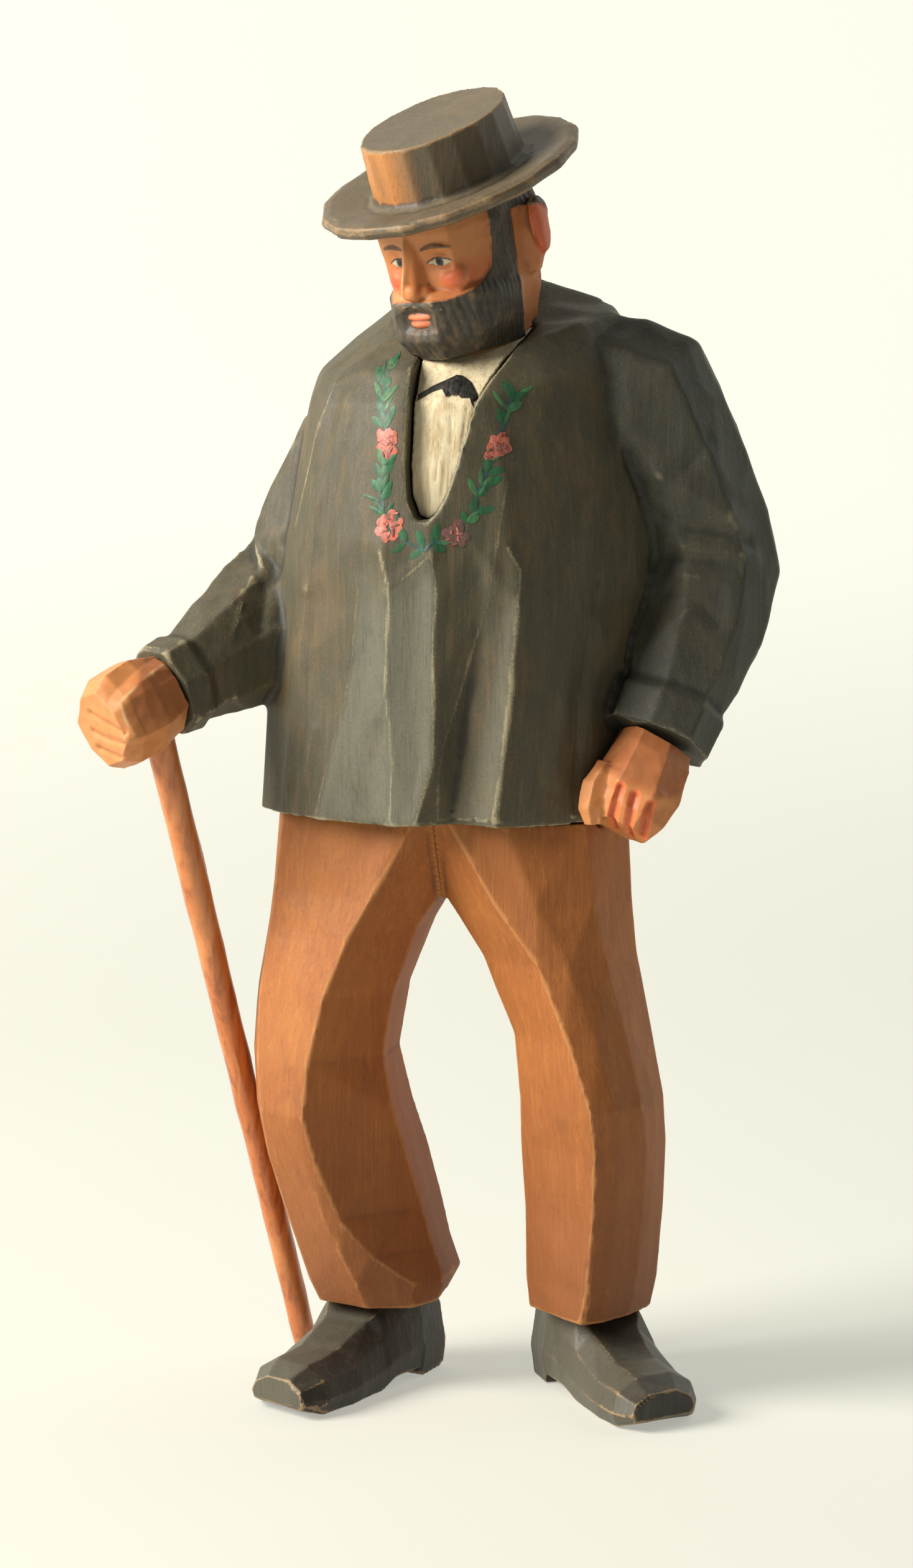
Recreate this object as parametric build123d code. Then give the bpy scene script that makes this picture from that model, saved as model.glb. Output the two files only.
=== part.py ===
"""Carved wooden figurine of a bearded countryman with a hat, a smock and a walking stick.

Every piece is whittled: flat cuts run from ridge to ridge, so each solid is a stack of rings of
points joined by flat facets.  The figure faces -Y, its left side is towards +X, and +Z is up.
Lengths are millimetres, angles are degrees.
"""

from build123d import *

import os
from math import cos, radians, sin

# ---- driving dimensions -------------------------------------------------------------------------
HEM_Z = 100.0  # underside of the smock, where the trousers begin
CUFF_Z = 14.4  # underside of the trouser legs, where the shoes begin
SEAM_X = -1.0  # plane in which the two trouser legs meet

HEAD_CENTRE = (1.4, -3.8, 193.8)
HEAD_TURN, HEAD_NOD, HEAD_LEAN = -30.0, 12.0, -4.5  # to its right, forwards, to its right
HAT_CENTRE = (0.8, -6.0, 205.8)  # middle of the brim's underside
HAT_NOD = 21.0

BRIM_HALF_LENGTH, BRIM_HALF_WIDTH, BRIM_THICKNESS = 24.2, 21.9, 2.6
CROWN_HALF_LENGTH, CROWN_HALF_WIDTH, CROWN_HEIGHT = 14.4, 12.2, 9.8
HAT_SIDES = 18

STICK_TIP = (-29.5, 14.0, 0.0)
STICK_TOP = (-46.9, -22.5, 116.5)
STICK_TIP_RADIUS, STICK_TOP_RADIUS = 2.2, 2.7
TIP_LIFT = 0.56  # keeps the rim of the tilted stick's end on the floor, not through it
TIP_BEVEL = 1.2
TENON_RADIUS, TENON_LENGTH, TENON_PLAY = 1.9, 6.0, 0.03

SHOE_HALF_WIDTH = 8.7
TOE_SLANT, BALL_Y = 0.14, -12.0  # in front of the ball of the foot the rings slant, more and more
WIDEST = 0.45  # where the shoe's side is widest, as a share of the way from sole to bevel
RIGHT_SHOE = ((-14.4, 0.2), -18.0)  # middle of the ankle, turn about +Z
LEFT_SHOE = ((23.8, 1.2), 32.0)

COLLAR_FRONT_Y, COLLAR_FRONT_Z = -10.0, 178.4  # the collar's edge at the front
COLLAR_SLOPE = 0.46  # its rise from front to back
NECK_MIDDLE, NECK_RADII = (0.8, 2.4), (9.6, 10.2)
NECK_HOLLOW_Z, SLIT_TOP_Z = 166.0, 200.0  # foot of the neck's hollow; the slit is open above

BEYOND = 60.0  # reach of a cutting block that must pass right through the figure
HOLE_PLAY = 0.1  # play round the stick where it passes into the fist


# ---- whittled solids ----------------------------------------------------------------------------
def facet(a, b, c):
    return Face(Wire.make_polygon([a, b, c], close=True))


def side_facets(low, high):
    """The two triangles between each pair of ridges, split along the diagonal that stands proud."""
    count = len(low)
    middle = sum(low + high, Vector()) / (2 * count)
    for i in range(count):
        a, b, c, d = low[i], low[(i + 1) % count], high[(i + 1) % count], high[i]
        if ((a + c) / 2 - middle).length >= ((b + d) / 2 - middle).length:
            yield facet(a, b, c)
            yield facet(a, c, d)
        else:
            yield facet(a, b, d)
            yield facet(b, c, d)


def end_facets(ring):
    """A fan of triangles that closes an end, so the ring need not be flat."""
    middle = sum(ring, Vector()) / len(ring)
    for i, point in enumerate(ring):
        yield facet(point, ring[(i + 1) % len(ring)], middle)


def whittle(rings):
    """A closed solid through rings of points; each ring has the same number of points."""
    rings = [[Vector(*p) for p in ring] for ring in rings]
    faces = [f for low, high in zip(rings, rings[1:]) for f in side_facets(low, high)]
    faces += [*end_facets(rings[0]), *end_facets(rings[-1])]
    solid = Solid(Shell(faces)).clean()
    return solid if solid.volume > 0 else -solid


def level(z, *points):
    """A horizontal ring."""
    return [(x, y, z) for x, y in points]


def cut_ring(centre, along, across, half_across, half_other, ridges):
    """A ring of ridges, given as (angle, share of the radius), square to the direction along."""
    plane = Plane(origin=centre, x_dir=across, z_dir=along)
    return [
        tuple(plane.from_local_coords(Vector(
            half_across * share * cos(radians(a)), half_other * share * sin(radians(a)), 0)))
        for a, share in ridges
    ]


# ---- legs and shoes -----------------------------------------------------------------------------
def trouser_leg_right():
    """Ridges in order: outer, outer front, front, edge of the inner hollow, inner front, inner
    back, back, back, outer back.  The hollow's edge swings across to the inner side at the hem."""
    return whittle([
        level(CUFF_Z, (-24.6, 1), (-22.6, -7.5), (-13.2, -12.4), (-5.6, -9.4), (-2.6, -3.2),
              (-3, 7.5), (-8, 13.5), (-17, 14), (-23.2, 9)),
        level(18.6, (-26.3, 0), (-24.3, -8.7), (-14.6, -13.9), (-5.2, -9.6), (-1.4, -3.2),
              (-0.8, 8.8), (-7, 15.5), (-18, 15.8), (-25.1, 9)),
        level(24, (-28, -0.8), (-25.8, -9.7), (-17, -15), (-12, -14), (-3, -4.2),
              (-2.6, 8.6), (-8, 15.5), (-18.8, 15.6), (-26.6, 8.6)),
        level(31, (-30.2, -2.2), (-27.7, -11), (-20, -16), (-17, -16.2), (-4.6, -5.2),
              (-4.2, 8.3), (-9.7, 15.2), (-20.3, 15), (-28.4, 7.8)),
        level(41, (-32.9, -4), (-30.4, -13), (-22.8, -17.6), (-20.8, -18.2), (-6.8, -8),
              (-6.3, 6.4), (-12, 13.4), (-23, 13), (-31.2, 6)),
        level(49, (-34.2, -5), (-31.4, -14.4), (-24.8, -18.8), (-22.6, -19.8), (-8.8, -9.4),
              (-8.4, 4.6), (-14, 11.4), (-25, 11.6), (-32.6, 5)),
        level(58, (-34.9, -3.6), (-32.2, -13.2), (-24.4, -18), (-21.8, -19.2), (-10.6, -9.2),
              (-10.4, 3.6), (-14.4, 10.6), (-25, 11.2), (-33, 5.4)),
        level(69, (-34.5, -1.4), (-32, -11.2), (-22.4, -16.8), (-19.4, -18.2), (-9, -8.6),
              (-8.8, 4.6), (-13, 11.4), (-24.4, 11.8), (-32.4, 6.4)),
        level(80, (-33, 0), (-30.6, -9.8), (-18.6, -16), (-15, -17.6), (-5, -8), (-4.6, 6),
              (-11, 12.8), (-23, 12.9), (-31.4, 7.4)),
        level(86.5, (-32.4, 1), (-29.9, -9.2), (-15, -15.6), (-11.2, -17.2), (SEAM_X, -7.5),
              (SEAM_X, 7.5), (-10, 14), (-22.4, 13.8), (-30.8, 8)),
        level(HEM_Z, (-31.4, 2), (-28.6, -8.6), (-8, -15.4), (-4, -16.6), (SEAM_X, -15),
              (SEAM_X, 13), (-9.5, 17), (-21.5, 15.6), (-29.6, 9)),
    ])


def trouser_leg_left():
    """Ridges in order: inner front, front, front, outer front, outer, outer back, back, inner back."""
    return whittle([
        level(CUFF_Z, (13.5, -4.5), (24.6, -16), (28.2, -13.8), (31.7, -8), (33.9, 0.5),
              (30.6, 10.4), (21, 14.4), (13.6, 7)),
        level(20, (13, -5.2), (25.8, -16.8), (29.4, -14.4), (33.2, -8.4), (35.1, 0.6),
              (32.4, 11), (21.4, 15.6), (12.7, 8)),
        level(32, (13.2, -6.8), (27, -17.8), (30.8, -15.2), (34.4, -9.2), (36.2, 0),
              (33.6, 10.4), (22, 15), (12.4, 7)),
        level(44, (12.7, -8), (28, -19.8), (31.8, -17), (35.4, -11), (36.9, -1),
              (34.2, 9), (22.4, 13), (11.9, 5)),
        level(52, (12.6, -9), (27.4, -21.4), (31.4, -18.4), (35, -12.8), (36.6, -2),
              (34, 7.6), (22.6, 12), (11.9, 4.4)),
        level(63, (11.6, -9), (23.4, -19.6), (28, -17.4), (32, -11.4), (34.2, 0),
              (31.8, 8.4), (21, 12.4), (10.4, 5)),
        level(76, (6.2, -8.4), (17.8, -18.2), (23, -16.8), (28.6, -11.6), (31.6, 0),
              (29.2, 9.4), (17, 13.4), (5.4, 6.6)),
        level(86.5, (SEAM_X, -7.5), (10, -17.4), (17, -17), (26.4, -12), (30.6, 0),
              (27.6, 10.4), (13, 15), (SEAM_X, 7.5)),
        level(HEM_Z, (SEAM_X, -15), (2, -16.8), (12, -16.9), (24.6, -12.2), (30, 0),
              (27, 10.8), (12, 17), (SEAM_X, 13)),
    ])


def shoe(place, side):
    """A clog, toe towards -Y before it is turned; side is 1 for the left foot, -1 for the right.

    Each ring is (y, half width, height at the middle, height of the bevel, underside, flat share).
    """
    (x, y), turn = place
    half = SHOE_HALF_WIDTH
    stations = [
        (13.4, 0.80 * half, CUFF_Z - 3.0, CUFF_Z - 6.0, 1.2, 0.50),
        (11.6, 0.94 * half, CUFF_Z, CUFF_Z - 2.8, 0.0, 0.62),
        (3.4, 1.06 * half, CUFF_Z, CUFF_Z - 2.4, 0.0, 0.80),
        (3.2, 1.06 * half, CUFF_Z, CUFF_Z - 2.4, 1.5, 0.80),
        (-5.4, 1.04 * half, CUFF_Z, CUFF_Z - 4.0, 1.4, 0.66),
        (-9.6, 1.01 * half, 12.0, 8.6, 0.0, 0.50),
        (-19.0, 1.05 * half, 9.0, 6.2, 0.0, 0.42),
        (-27.4, 1.02 * half, 8.4, 6.2, 0.0, 0.42),
        (-32.2, 0.78 * half, 6.4, 5.0, 1.6, 0.42),
    ]
    rings = []
    for station_y, w, top, bevel, sole, flat in stations:
        inner, outer = -side * 0.92 * w, side * 1.04 * w
        slant = TOE_SLANT * max(0.0, BALL_Y - station_y)
        widest = sole + WIDEST * (bevel - sole)
        rings.append([
            (px, station_y + side * slant * px / half, pz) for px, pz in (
                (inner * 0.90, sole), (outer * 0.90, sole),
                (outer, widest), (outer * 0.86, bevel), (outer * flat, top),
                (inner * flat, top), (inner * 0.88, bevel), (inner, widest),
            )
        ])
    return Pos(x, y, 0) * Rot(0, 0, turn) * whittle(rings)


# ---- smock, shirt and sleeves -------------------------------------------------------------------
def collar_z(y):
    return COLLAR_FRONT_Z + COLLAR_SLOPE * (y - COLLAR_FRONT_Y)


def between(levels, z):
    """The ring at height z, part of the way between the nearest rings given in levels."""
    low = max(level_z for level_z in levels if level_z <= z)
    high = min(level_z for level_z in levels if level_z >= z)
    share = (z - low) / (high - low) if high > low else 0.0
    return [
        (x0 + share * (x1 - x0), y0 + share * (y1 - y0))
        for (x0, y0), (x1, y1) in zip(levels[low], levels[high])
    ]


# The smock's pleats at five heights: crest, hollow, crest and the left breast, then (last two) the
# right breast and the flat crest beside the middle one.
PLEATS = {
    HEM_Z: [(-2.1, -23.6), (3, -19.8), (11.4, -22.2), (19, -17.4), (-19.2, -18.6), (-6.3, -22.6)],
    112.0: [(1, -24.2), (4.9, -20.5), (12.8, -22.6), (19.2, -18.1), (-16.2, -19.8), (-6.7, -23.2)],
    124.0: [(1.5, -24.6), (6.8, -21.1), (14.4, -22.5), (20, -17.9), (-13.8, -21), (-7, -23.6)],
    137.0: [(1.6, -24.8), (9, -21.9), (15.2, -21.9), (20.4, -17.4), (-12.2, -21.9), (-6.8, -24)],
    148.0: [(0.4, -24.8), (7.6, -23.2), (13.6, -21.2), (19, -17.6), (-13, -21.8), (-7.4, -23.9)],
}
# The smock's sides and back, from its left side round to its right.
SMOCK_SIDES = {
    HEM_Z: [(26.6, -11.4), (31.4, 0), (29.6, 11), (21, 18), (9, 21), (-5, 21), (-18, 19),
            (-28.5, 12.5), (-34.4, 2), (-32.6, -7.6), (-27.4, -13.8)],
    126.0: [(25.4, -11.6), (30.4, 0), (28.8, 11), (20, 18), (9, 21), (-5, 21), (-17, 18.6),
            (-27, 11.6), (-32.2, 2), (-30.8, -7.4), (-25.4, -14.8)],
    148.0: [(25.4, -11.8), (34, 1.1), (30.4, 11.6), (20, 19.1), (9, 22.1), (-4, 22.1), (-16, 19),
            (-24.4, 11.6), (-29.1, 2.6), (-27.9, -6.4), (-23.4, -14)],
}


def smock_block():
    """The smock without its slit; the ridges start at the front and run round by the left side."""
    collar = [(0, -10), (4, -10), (8, -8.5), (11, -5), (13.5, 0), (14, 6), (12, 12), (8, 15.5),
              (3, 16.5), (-2, 16), (-6.5, 14), (-9.5, 10), (-11, 5), (-11, 0), (-9.5, -4.5),
              (-7, -8), (-3.5, -10)]
    rings = []
    for z, pleats in PLEATS.items():
        rings.append(level(z, *pleats[:4], *between(SMOCK_SIDES, z), *pleats[4:]))
    rings += [
        level(164, (0, -22.8), (5.5, -22.2), (11.5, -19.8), (18, -15.6), (26, -8.4), (31.4, 2),
              (29, 12.5), (20, 19.5), (9, 22.5), (-4, 22.5), (-15, 19), (-23, 12), (-26.6, 3.5),
              (-25.6, -5), (-21.6, -12), (-15, -17.6), (-7.5, -21.8)),
        [(0, -20.6, 171), (5, -20.2, 171.4), (11, -17.6, 172.4), (17.4, -12.8, 173.8),
         (24.8, -6, 175.4), (29.4, 3, 175), (27.4, 12.6, 176), (19.2, 19, 176), (8.6, 21.8, 176),
         (-4, 21.8, 175), (-14.6, 18.4, 173), (-22.4, 11.8, 171.4), (-26, 4, 169.8),
         (-24.7, -4, 169.4), (-20.6, -11, 169.8), (-14.2, -16.4, 170.2), (-7.2, -19.8, 170.8)],
        [(0, -16.2, 176.6), (4.4, -15.8, 177.2), (9.4, -12.6, 178.6), (15.6, -7.8, 181.4),
         (22.2, -2.4, 183.6), (26.4, 4, 184.2), (25.2, 12.6, 185.6), (18, 18.2, 186),
         (8, 20.6, 184.8), (-4, 20.6, 182.4), (-14, 17.4, 180), (-21.5, 11.5, 177),
         (-25, 4.5, 174.2), (-22.6, -2.6, 174), (-17.8, -8.6, 175.2), (-12, -13.4, 175.8),
         (-6.6, -15.8, 176.2)],
        [(x, y, collar_z(y)) for x, y in collar],
    ]
    return whittle(rings)


def slit():
    """The open slit of the smock, from the breast up to the neck, and the hollow for the neck."""
    outline = [(-3.6, SLIT_TOP_Z), (-3.6, 160), (-3.2, 155.2), (-1.9, 152.2), (-0.3, 151.6),
               (1.3, 152.8), (3.1, 156), (4.7, 161), (5.9, 166), (7, 171), (8.6, 174.6),
               (13.6, 182.4), (13.6, SLIT_TOP_Z)]
    front = extrude(Plane.XZ * make_face(Polyline(*outline, close=True)), amount=BEYOND)
    (x, y), (half_x, half_y) = NECK_MIDDLE, NECK_RADII
    neck = [(x + half_x * cos(radians(a)), y + half_y * sin(radians(a))) for a in range(0, 360, 36)]
    return front + whittle([level(z, *neck) for z in (NECK_HOLLOW_Z, SLIT_TOP_Z)])


def shirt_block():
    """The shirt's breast, set back from the slit's edge, and the collar band round the neck."""
    return whittle([
        level(148, (-8, -20.4), (1, -21), (10, -19.6), (14, -6), (14, 12), (-12, 12), (-12, -6)),
        level(160, (-8, -19.6), (1, -20.4), (10, -18.8), (14, -6), (14, 12), (-12, 12), (-12, -6)),
        level(171, (-8, -17), (1, -17.8), (10, -16), (14, -6), (14, 12), (-12, 12), (-12, -6)),
        [(x, y, collar_z(y) - 0.8) for x, y in
         ((-8, -10.6), (1, -11.4), (10, -9.6), (14, -4), (14, 13), (-12, 13), (-12, -4))],
    ])


SLEEVE_RIDGES = [(8, 1.0), (52, 1.04), (97, 0.98), (143, 1.05), (187, 1.0), (230, 1.03),
                 (275, 0.97), (320, 1.05)]


def sleeve_left():
    """The arm hangs with its elbow out; each cut is centre, direction, half depth, half width."""
    cuts = [
        ((17, 7, 172.4), (0.9, 0, -0.43), 11.0, 13.9),
        ((23.8, 7.2, 171.6), (0.82, 0, -0.57), 11.8, 15.0),
        ((30.4, 7.4, 169.4), (0.72, 0, -0.69), 12.4, 15.2),
        ((36.4, 9, 159), (0.4, 0.1, -0.92), 12.6, 12.6),
        ((39.6, 11.2, 149), (0.15, 0.1, -1), 12.6, 13.0),
        ((40.9, 11.6, 141), (-0.05, -0.2, -1), 12.4, 13.7),
        ((40.3, 7.0, 130.4), (-0.16, -0.45, -0.88), 11.0, 12.2),
        ((37.5, 0.6, 120.6), (-0.27, -0.5, -0.83), 9.2, 10.1),
        ((37.3, 0.2, 119.8), (-0.27, -0.5, -0.83), 8.7, 9.6),
        ((37.0, -0.8, 118.4), (-0.27, -0.5, -0.83), 9.5, 10.5),
        ((35.2, -4.2, 112.8), (-0.27, -0.5, -0.83), 8.9, 10.0),
    ]
    return whittle([cut_ring(c, d, (0, 1, 0), a, b, SLEEVE_RIDGES) for c, d, a, b in cuts])


def sleeve_right():
    """The arm reaches forwards to the stick; the direction across turns as the elbow bends."""
    cuts = [
        ((-11, 6, 167), (-0.85, 0, -0.5), (0, 1, 0), 10.0, 8.5),
        ((-20.6, 7, 162.5), (-0.55, 0, -0.84), (0, 1, 0), 10.4, 8.4),
        ((-26.0, 7, 152), (-0.3, 0, -0.95), (0, 1, 0), 10.4, 8.6),
        ((-29.0, 6, 142), (-0.3, -0.25, -0.92), (0, 1, -0.3), 10.4, 9.2),
        ((-31.6, 0.6, 132.2), (-0.5, -0.62, -0.6), (0, 0.6, 0.6), 13.2, 9.8),
        ((-37.4, -8.4, 127.0), (-0.56, -0.76, -0.33), (0, 0.3, 1), 11.0, 9.2),
        ((-42.2, -15.2, 123.6), (-0.57, -0.76, -0.31), (0, 0.3, 1), 8.7, 8.2),
        ((-42.8, -16.0, 123.2), (-0.57, -0.76, -0.31), (0, 0.3, 1), 8.3, 7.8),
        ((-43.7, -17.2, 122.7), (-0.57, -0.76, -0.31), (0, 0.3, 1), 9.1, 8.6),
        ((-46.4, -20.8, 121.3), (-0.57, -0.76, -0.31), (0, 0.3, 1), 8.3, 8.0),
    ]
    return whittle([cut_ring(c, d, x, a, b, SLEEVE_RIDGES) for c, d, x, a, b in cuts])


# ---- hands and stick ----------------------------------------------------------------------------
THUMB_RIDGES = [(10, 1.0), (70, 1.05), (130, 1.0), (190, 1.05), (250, 1.0), (310, 1.05)]
FIST_RIDGES = [(20, 1.0), (75, 1.06), (118, 1.0), (160, 1.08), (205, 1.0), (250, 1.1),
               (292, 1.0), (338, 1.08)]


def hand_right():
    """The fist that closes over the stick's top: knuckles foremost, the thumb along its top."""
    along, across = (-0.57, -0.76, -0.31), (0, 0.3, 1)
    cuts = [
        ((-45.6, -20.0, 121.4), 6.9, 6.5),
        ((-47.2, -22.2, 120.4), 7.6, 7.2),
        ((-49.4, -25.4, 119.0), 9.0, 8.1),
        ((-52.3, -29.6, 117.3), 8.7, 7.5),
        ((-54.1, -32.0, 116.2), 6.6, 6.0),
    ]
    fist = whittle([cut_ring(c, along, across, a, b, FIST_RIDGES) for c, a, b in cuts])
    thumb = whittle([
        cut_ring(c, d, (0.8, -0.6, 0), r, 0.9 * r, THUMB_RIDGES) for c, d, r in (
            ((-44.4, -24.0, 124.2), (-0.5, -0.8, -0.3), 2.2),
            ((-46.0, -26.6, 123.6), (-0.45, -0.75, -0.5), 2.7),
            ((-47.8, -29.8, 121.0), (-0.4, -0.6, -0.7), 2.5),
            ((-48.8, -31.2, 118.6), (-0.3, -0.4, -0.86), 1.6),
        )
    ])
    return fist + thumb


def hand_left():
    """The closed hand that hangs before the hip: flat back, knuckle ridge, thumb on the inside."""
    along, across = (-0.42, -0.4, -0.82), (-0.8, 0.6, 0)
    cuts = [
        ((35.4, -5.0, 113.2), 7.2, 6.0),
        ((34.7, -6.6, 110.8), 8.2, 6.6),
        ((32.8, -9.6, 105.8), 9.2, 7.2),
        ((30.9, -11.4, 101.8), 8.5, 6.6),
        ((29.8, -12.4, 99.2), 6.6, 5.0),
    ]
    fist = whittle([cut_ring(c, along, across, a, b, FIST_RIDGES) for c, a, b in cuts])
    thumb = whittle([
        cut_ring(c, d, (0.9, -0.4, 0), r, 0.9 * r, THUMB_RIDGES) for c, d, r in (
            ((28.6, -11.6, 110.2), (-0.3, -0.4, -0.9), 2.2),
            ((26.9, -14.2, 107.0), (-0.15, -0.4, -0.9), 2.8),
            ((26.3, -15.8, 103.0), (0, -0.2, -0.95), 2.7),
            ((26.7, -16.2, 100.4), (0.1, 0, -1), 1.7),
        )
    ])
    return fist + thumb


def stick_axis():
    """The plane at the stick's shoulder, with its z axis pointing up the stick, and its length."""
    tip, top = Vector(*STICK_TIP), Vector(*STICK_TOP)
    return Plane(origin=top, z_dir=(top - tip).normalized()), (top - tip).length


def walking_stick():
    """A tapered rod with a rounded foot and a turned tenon on top."""
    plane, length = stick_axis()
    profile = [
        (0, TENON_LENGTH), (TENON_RADIUS, TENON_LENGTH), (TENON_RADIUS, 0), (STICK_TOP_RADIUS, 0),
        (STICK_TIP_RADIUS, -length + TIP_BEVEL), (0.7 * STICK_TIP_RADIUS, -length + TIP_LIFT),
        (0, -length + TIP_LIFT),
    ]
    half = make_face(Plane.XZ * Polyline(*profile, close=True))
    return plane.location * revolve(half, Axis.Z)


def stick_hole():
    """The blind hole for the tenon, and the flat seat that the stick's shoulder bears on."""
    plane, _ = stick_axis()
    depth = TENON_LENGTH + 2 * HOLE_PLAY
    bore = Pos(0, 0, TENON_LENGTH / 2) * Cylinder(TENON_RADIUS + TENON_PLAY, depth)
    seat_depth = 20
    seat = Pos(0, 0, -seat_depth / 2) * Cylinder(STICK_TOP_RADIUS + HOLE_PLAY, seat_depth)
    return plane.location * (bore + seat)


# ---- head and hat -------------------------------------------------------------------------------
def head_place():
    return Pos(*HEAD_CENTRE) * Rot(0, 0, HEAD_TURN) * Rot(0, HEAD_LEAN, 0) * Rot(HEAD_NOD, 0, 0)


def hat_place():
    return Pos(*HAT_CENTRE) * Rot(0, 0, HEAD_TURN) * Rot(0, HEAD_LEAN, 0) * Rot(HAT_NOD, 0, 0)


def head():
    """Skull, face and beard with the neck below; the brim's underside cuts off the crown."""
    skull = whittle([
        level(-24, (0, -3), (5, -2), (7.8, 3), (6.8, 8.4), (3.4, 11), (-3.4, 11), (-6.8, 8.4),
              (-7.8, 3), (-5, -2)),
        level(-13, (0, -8), (5.6, -6), (8.2, 2), (7.4, 8), (3.6, 11), (-3.6, 11), (-7.4, 8),
              (-8.2, 2), (-5.6, -6)),
        level(-6, (0, -11.4), (7.4, -9.4), (10.2, 0), (9.6, 9), (4.8, 12.8), (-4.8, 12.8), (-9.6, 9),
              (-10.2, 0), (-7.4, -9.4)),
        level(7, (0, -12.4), (8, -10.6), (11.2, 0), (10.6, 10), (5.2, 14.2), (-5.2, 14.2),
              (-10.6, 10), (-11.2, 0), (-8, -10.6)),
        level(20, (0, -9.4), (6.6, -8), (9.4, 0), (9, 8), (4.4, 11.8), (-4.4, 11.8), (-9, 8),
              (-9.4, 0), (-6.6, -8)),
    ])
    beard = whittle([
        level(-14.4, (-3.4, -11.6), (3.4, -11.6), (6.2, -7), (5.6, 1), (-5.6, 1), (-6.2, -7)),
        level(-10.6, (-4.4, -14), (4.4, -14), (9.2, -8.4), (9, 3.4), (-9, 3.4), (-9.2, -8.4)),
        level(-4.6, (-4.2, -13.8), (4.2, -13.8), (9.8, -8.4), (10.6, 3.4), (-10.6, 3.4), (-9.8, -8.4)),
        level(-2.8, (-3.4, -12.6), (3.4, -12.6), (8.8, -7.6), (10.2, 2.6), (-10.2, 2.6), (-8.8, -7.6)),
    ])
    nose = whittle([
        level(-3.0, (0, -15), (2.3, -12), (2.2, -8.4), (-2.2, -8.4), (-2.3, -12)),
        level(-1.9, (0, -16), (2.4, -12), (2.2, -8.4), (-2.2, -8.4), (-2.4, -12)),
        level(6.4, (0, -12.8), (1.4, -11.6), (1.3, -8.4), (-1.3, -8.4), (-1.4, -11.6)),
    ])
    ear_right, ear_left = (
        whittle([
            level(-4.4, (side * 9.2, 4.8), (side * 11.6, 5.8), (side * 11.2, 7.6), (side * 9, 7.4)),
            level(1.6, (side * 9.6, 3.8), (side * 13.4, 6.8), (side * 12.9, 10), (side * 9.4, 9.4)),
            level(7.2, (side * 9.6, 4.6), (side * 12.5, 6.8), (side * 12.1, 9), (side * 9.4, 8.8)),
        ])
        for side in (-1, 1)
    )
    whole = head_place() * (skull + beard + nose + ear_right + ear_left)
    above_brim = hat_place() * (Pos(0, 0, BEYOND / 2) * Box(BEYOND, BEYOND, BEYOND))
    return whole - above_brim


def oval(half_length, half_width, z, turn=0.0):
    """A ring of the hat, long from front to back."""
    step = 360 / HAT_SIDES
    return [
        (half_width * sin(radians(i * step + turn)), -half_length * cos(radians(i * step + turn)), z)
        for i in range(HAT_SIDES)
    ]


def hat():
    """Flat-crowned hat: the brim's edge is bevelled and the crown narrows to its flat top."""
    length, width, thick = BRIM_HALF_LENGTH, BRIM_HALF_WIDTH, BRIM_THICKNESS
    crown_length, crown_width = CROWN_HALF_LENGTH, CROWN_HALF_WIDTH
    return hat_place() * whittle([
        oval(length - 2.2, width - 2.2, 0),
        oval(length - 0.5, width - 0.5, 0.3 * thick),
        oval(length, width, 0.75 * thick),
        oval(length - 0.4, width - 0.4, 1.1 * thick),
        oval(length - 1.8, width - 1.8, 1.25 * thick),
        oval(crown_length + 1.6, crown_width + 1.6, 0.8 * thick),
        oval(crown_length + 0.2, crown_width + 0.2, 1.1 * thick),
        oval(crown_length - 0.4, crown_width - 0.4, thick + CROWN_HEIGHT),
    ])


# ---- assembly -----------------------------------------------------------------------------------
def figurine():
    """Every piece in place, cut back where it meets a neighbour."""
    opening = slit()
    smock = smock_block()
    shirt = shirt_block() & opening & smock
    smock = smock - opening
    stick, hole = walking_stick(), stick_hole()
    left_arm, right_arm = sleeve_left() - smock, sleeve_right() - smock
    left_fist = hand_left() - left_arm - smock
    right_fist = hand_right() - right_arm - hole
    neck_head = head() - smock - shirt
    return {
        "hat": hat(),
        "head": neck_head,
        "shirt_front": shirt,
        "smock": smock,
        "sleeve_left": left_arm,
        "sleeve_right": right_arm - hole,
        "hand_left": left_fist,
        "hand_right": right_fist,
        "trouser_leg_left": trouser_leg_left() - left_fist,
        "trouser_leg_right": trouser_leg_right(),
        "shoe_left": shoe(LEFT_SHOE, 1),
        "shoe_right": shoe(RIGHT_SHOE, -1),
        "walking_stick": stick,
    }


def main():
    pieces = figurine()
    box = Compound(children=[Compound(p.solids()) for p in pieces.values()]).bounding_box()
    middle = box.center()
    print("origin moved by", -middle.X, -middle.Y, "height", box.max.Z)
    os.makedirs("parts", exist_ok=True)
    for name, piece in pieces.items():
        export_step(Pos(-middle.X, -middle.Y, 0) * Compound(piece.solids()), f"parts/{name}.step")


main()
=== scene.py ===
"""The looks of a whittled and painted wooden countryman: carved surfaces, painted head, embroidery.

Carving works in millimetres on even meshes wrapped round the CAD solids; objects are in metres.
"""

from math import cos, pi, radians, sin

import bmesh
import bpy
import numpy as np
from mathutils import Matrix, Vector
from mathutils.bvhtree import BVHTree


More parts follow.
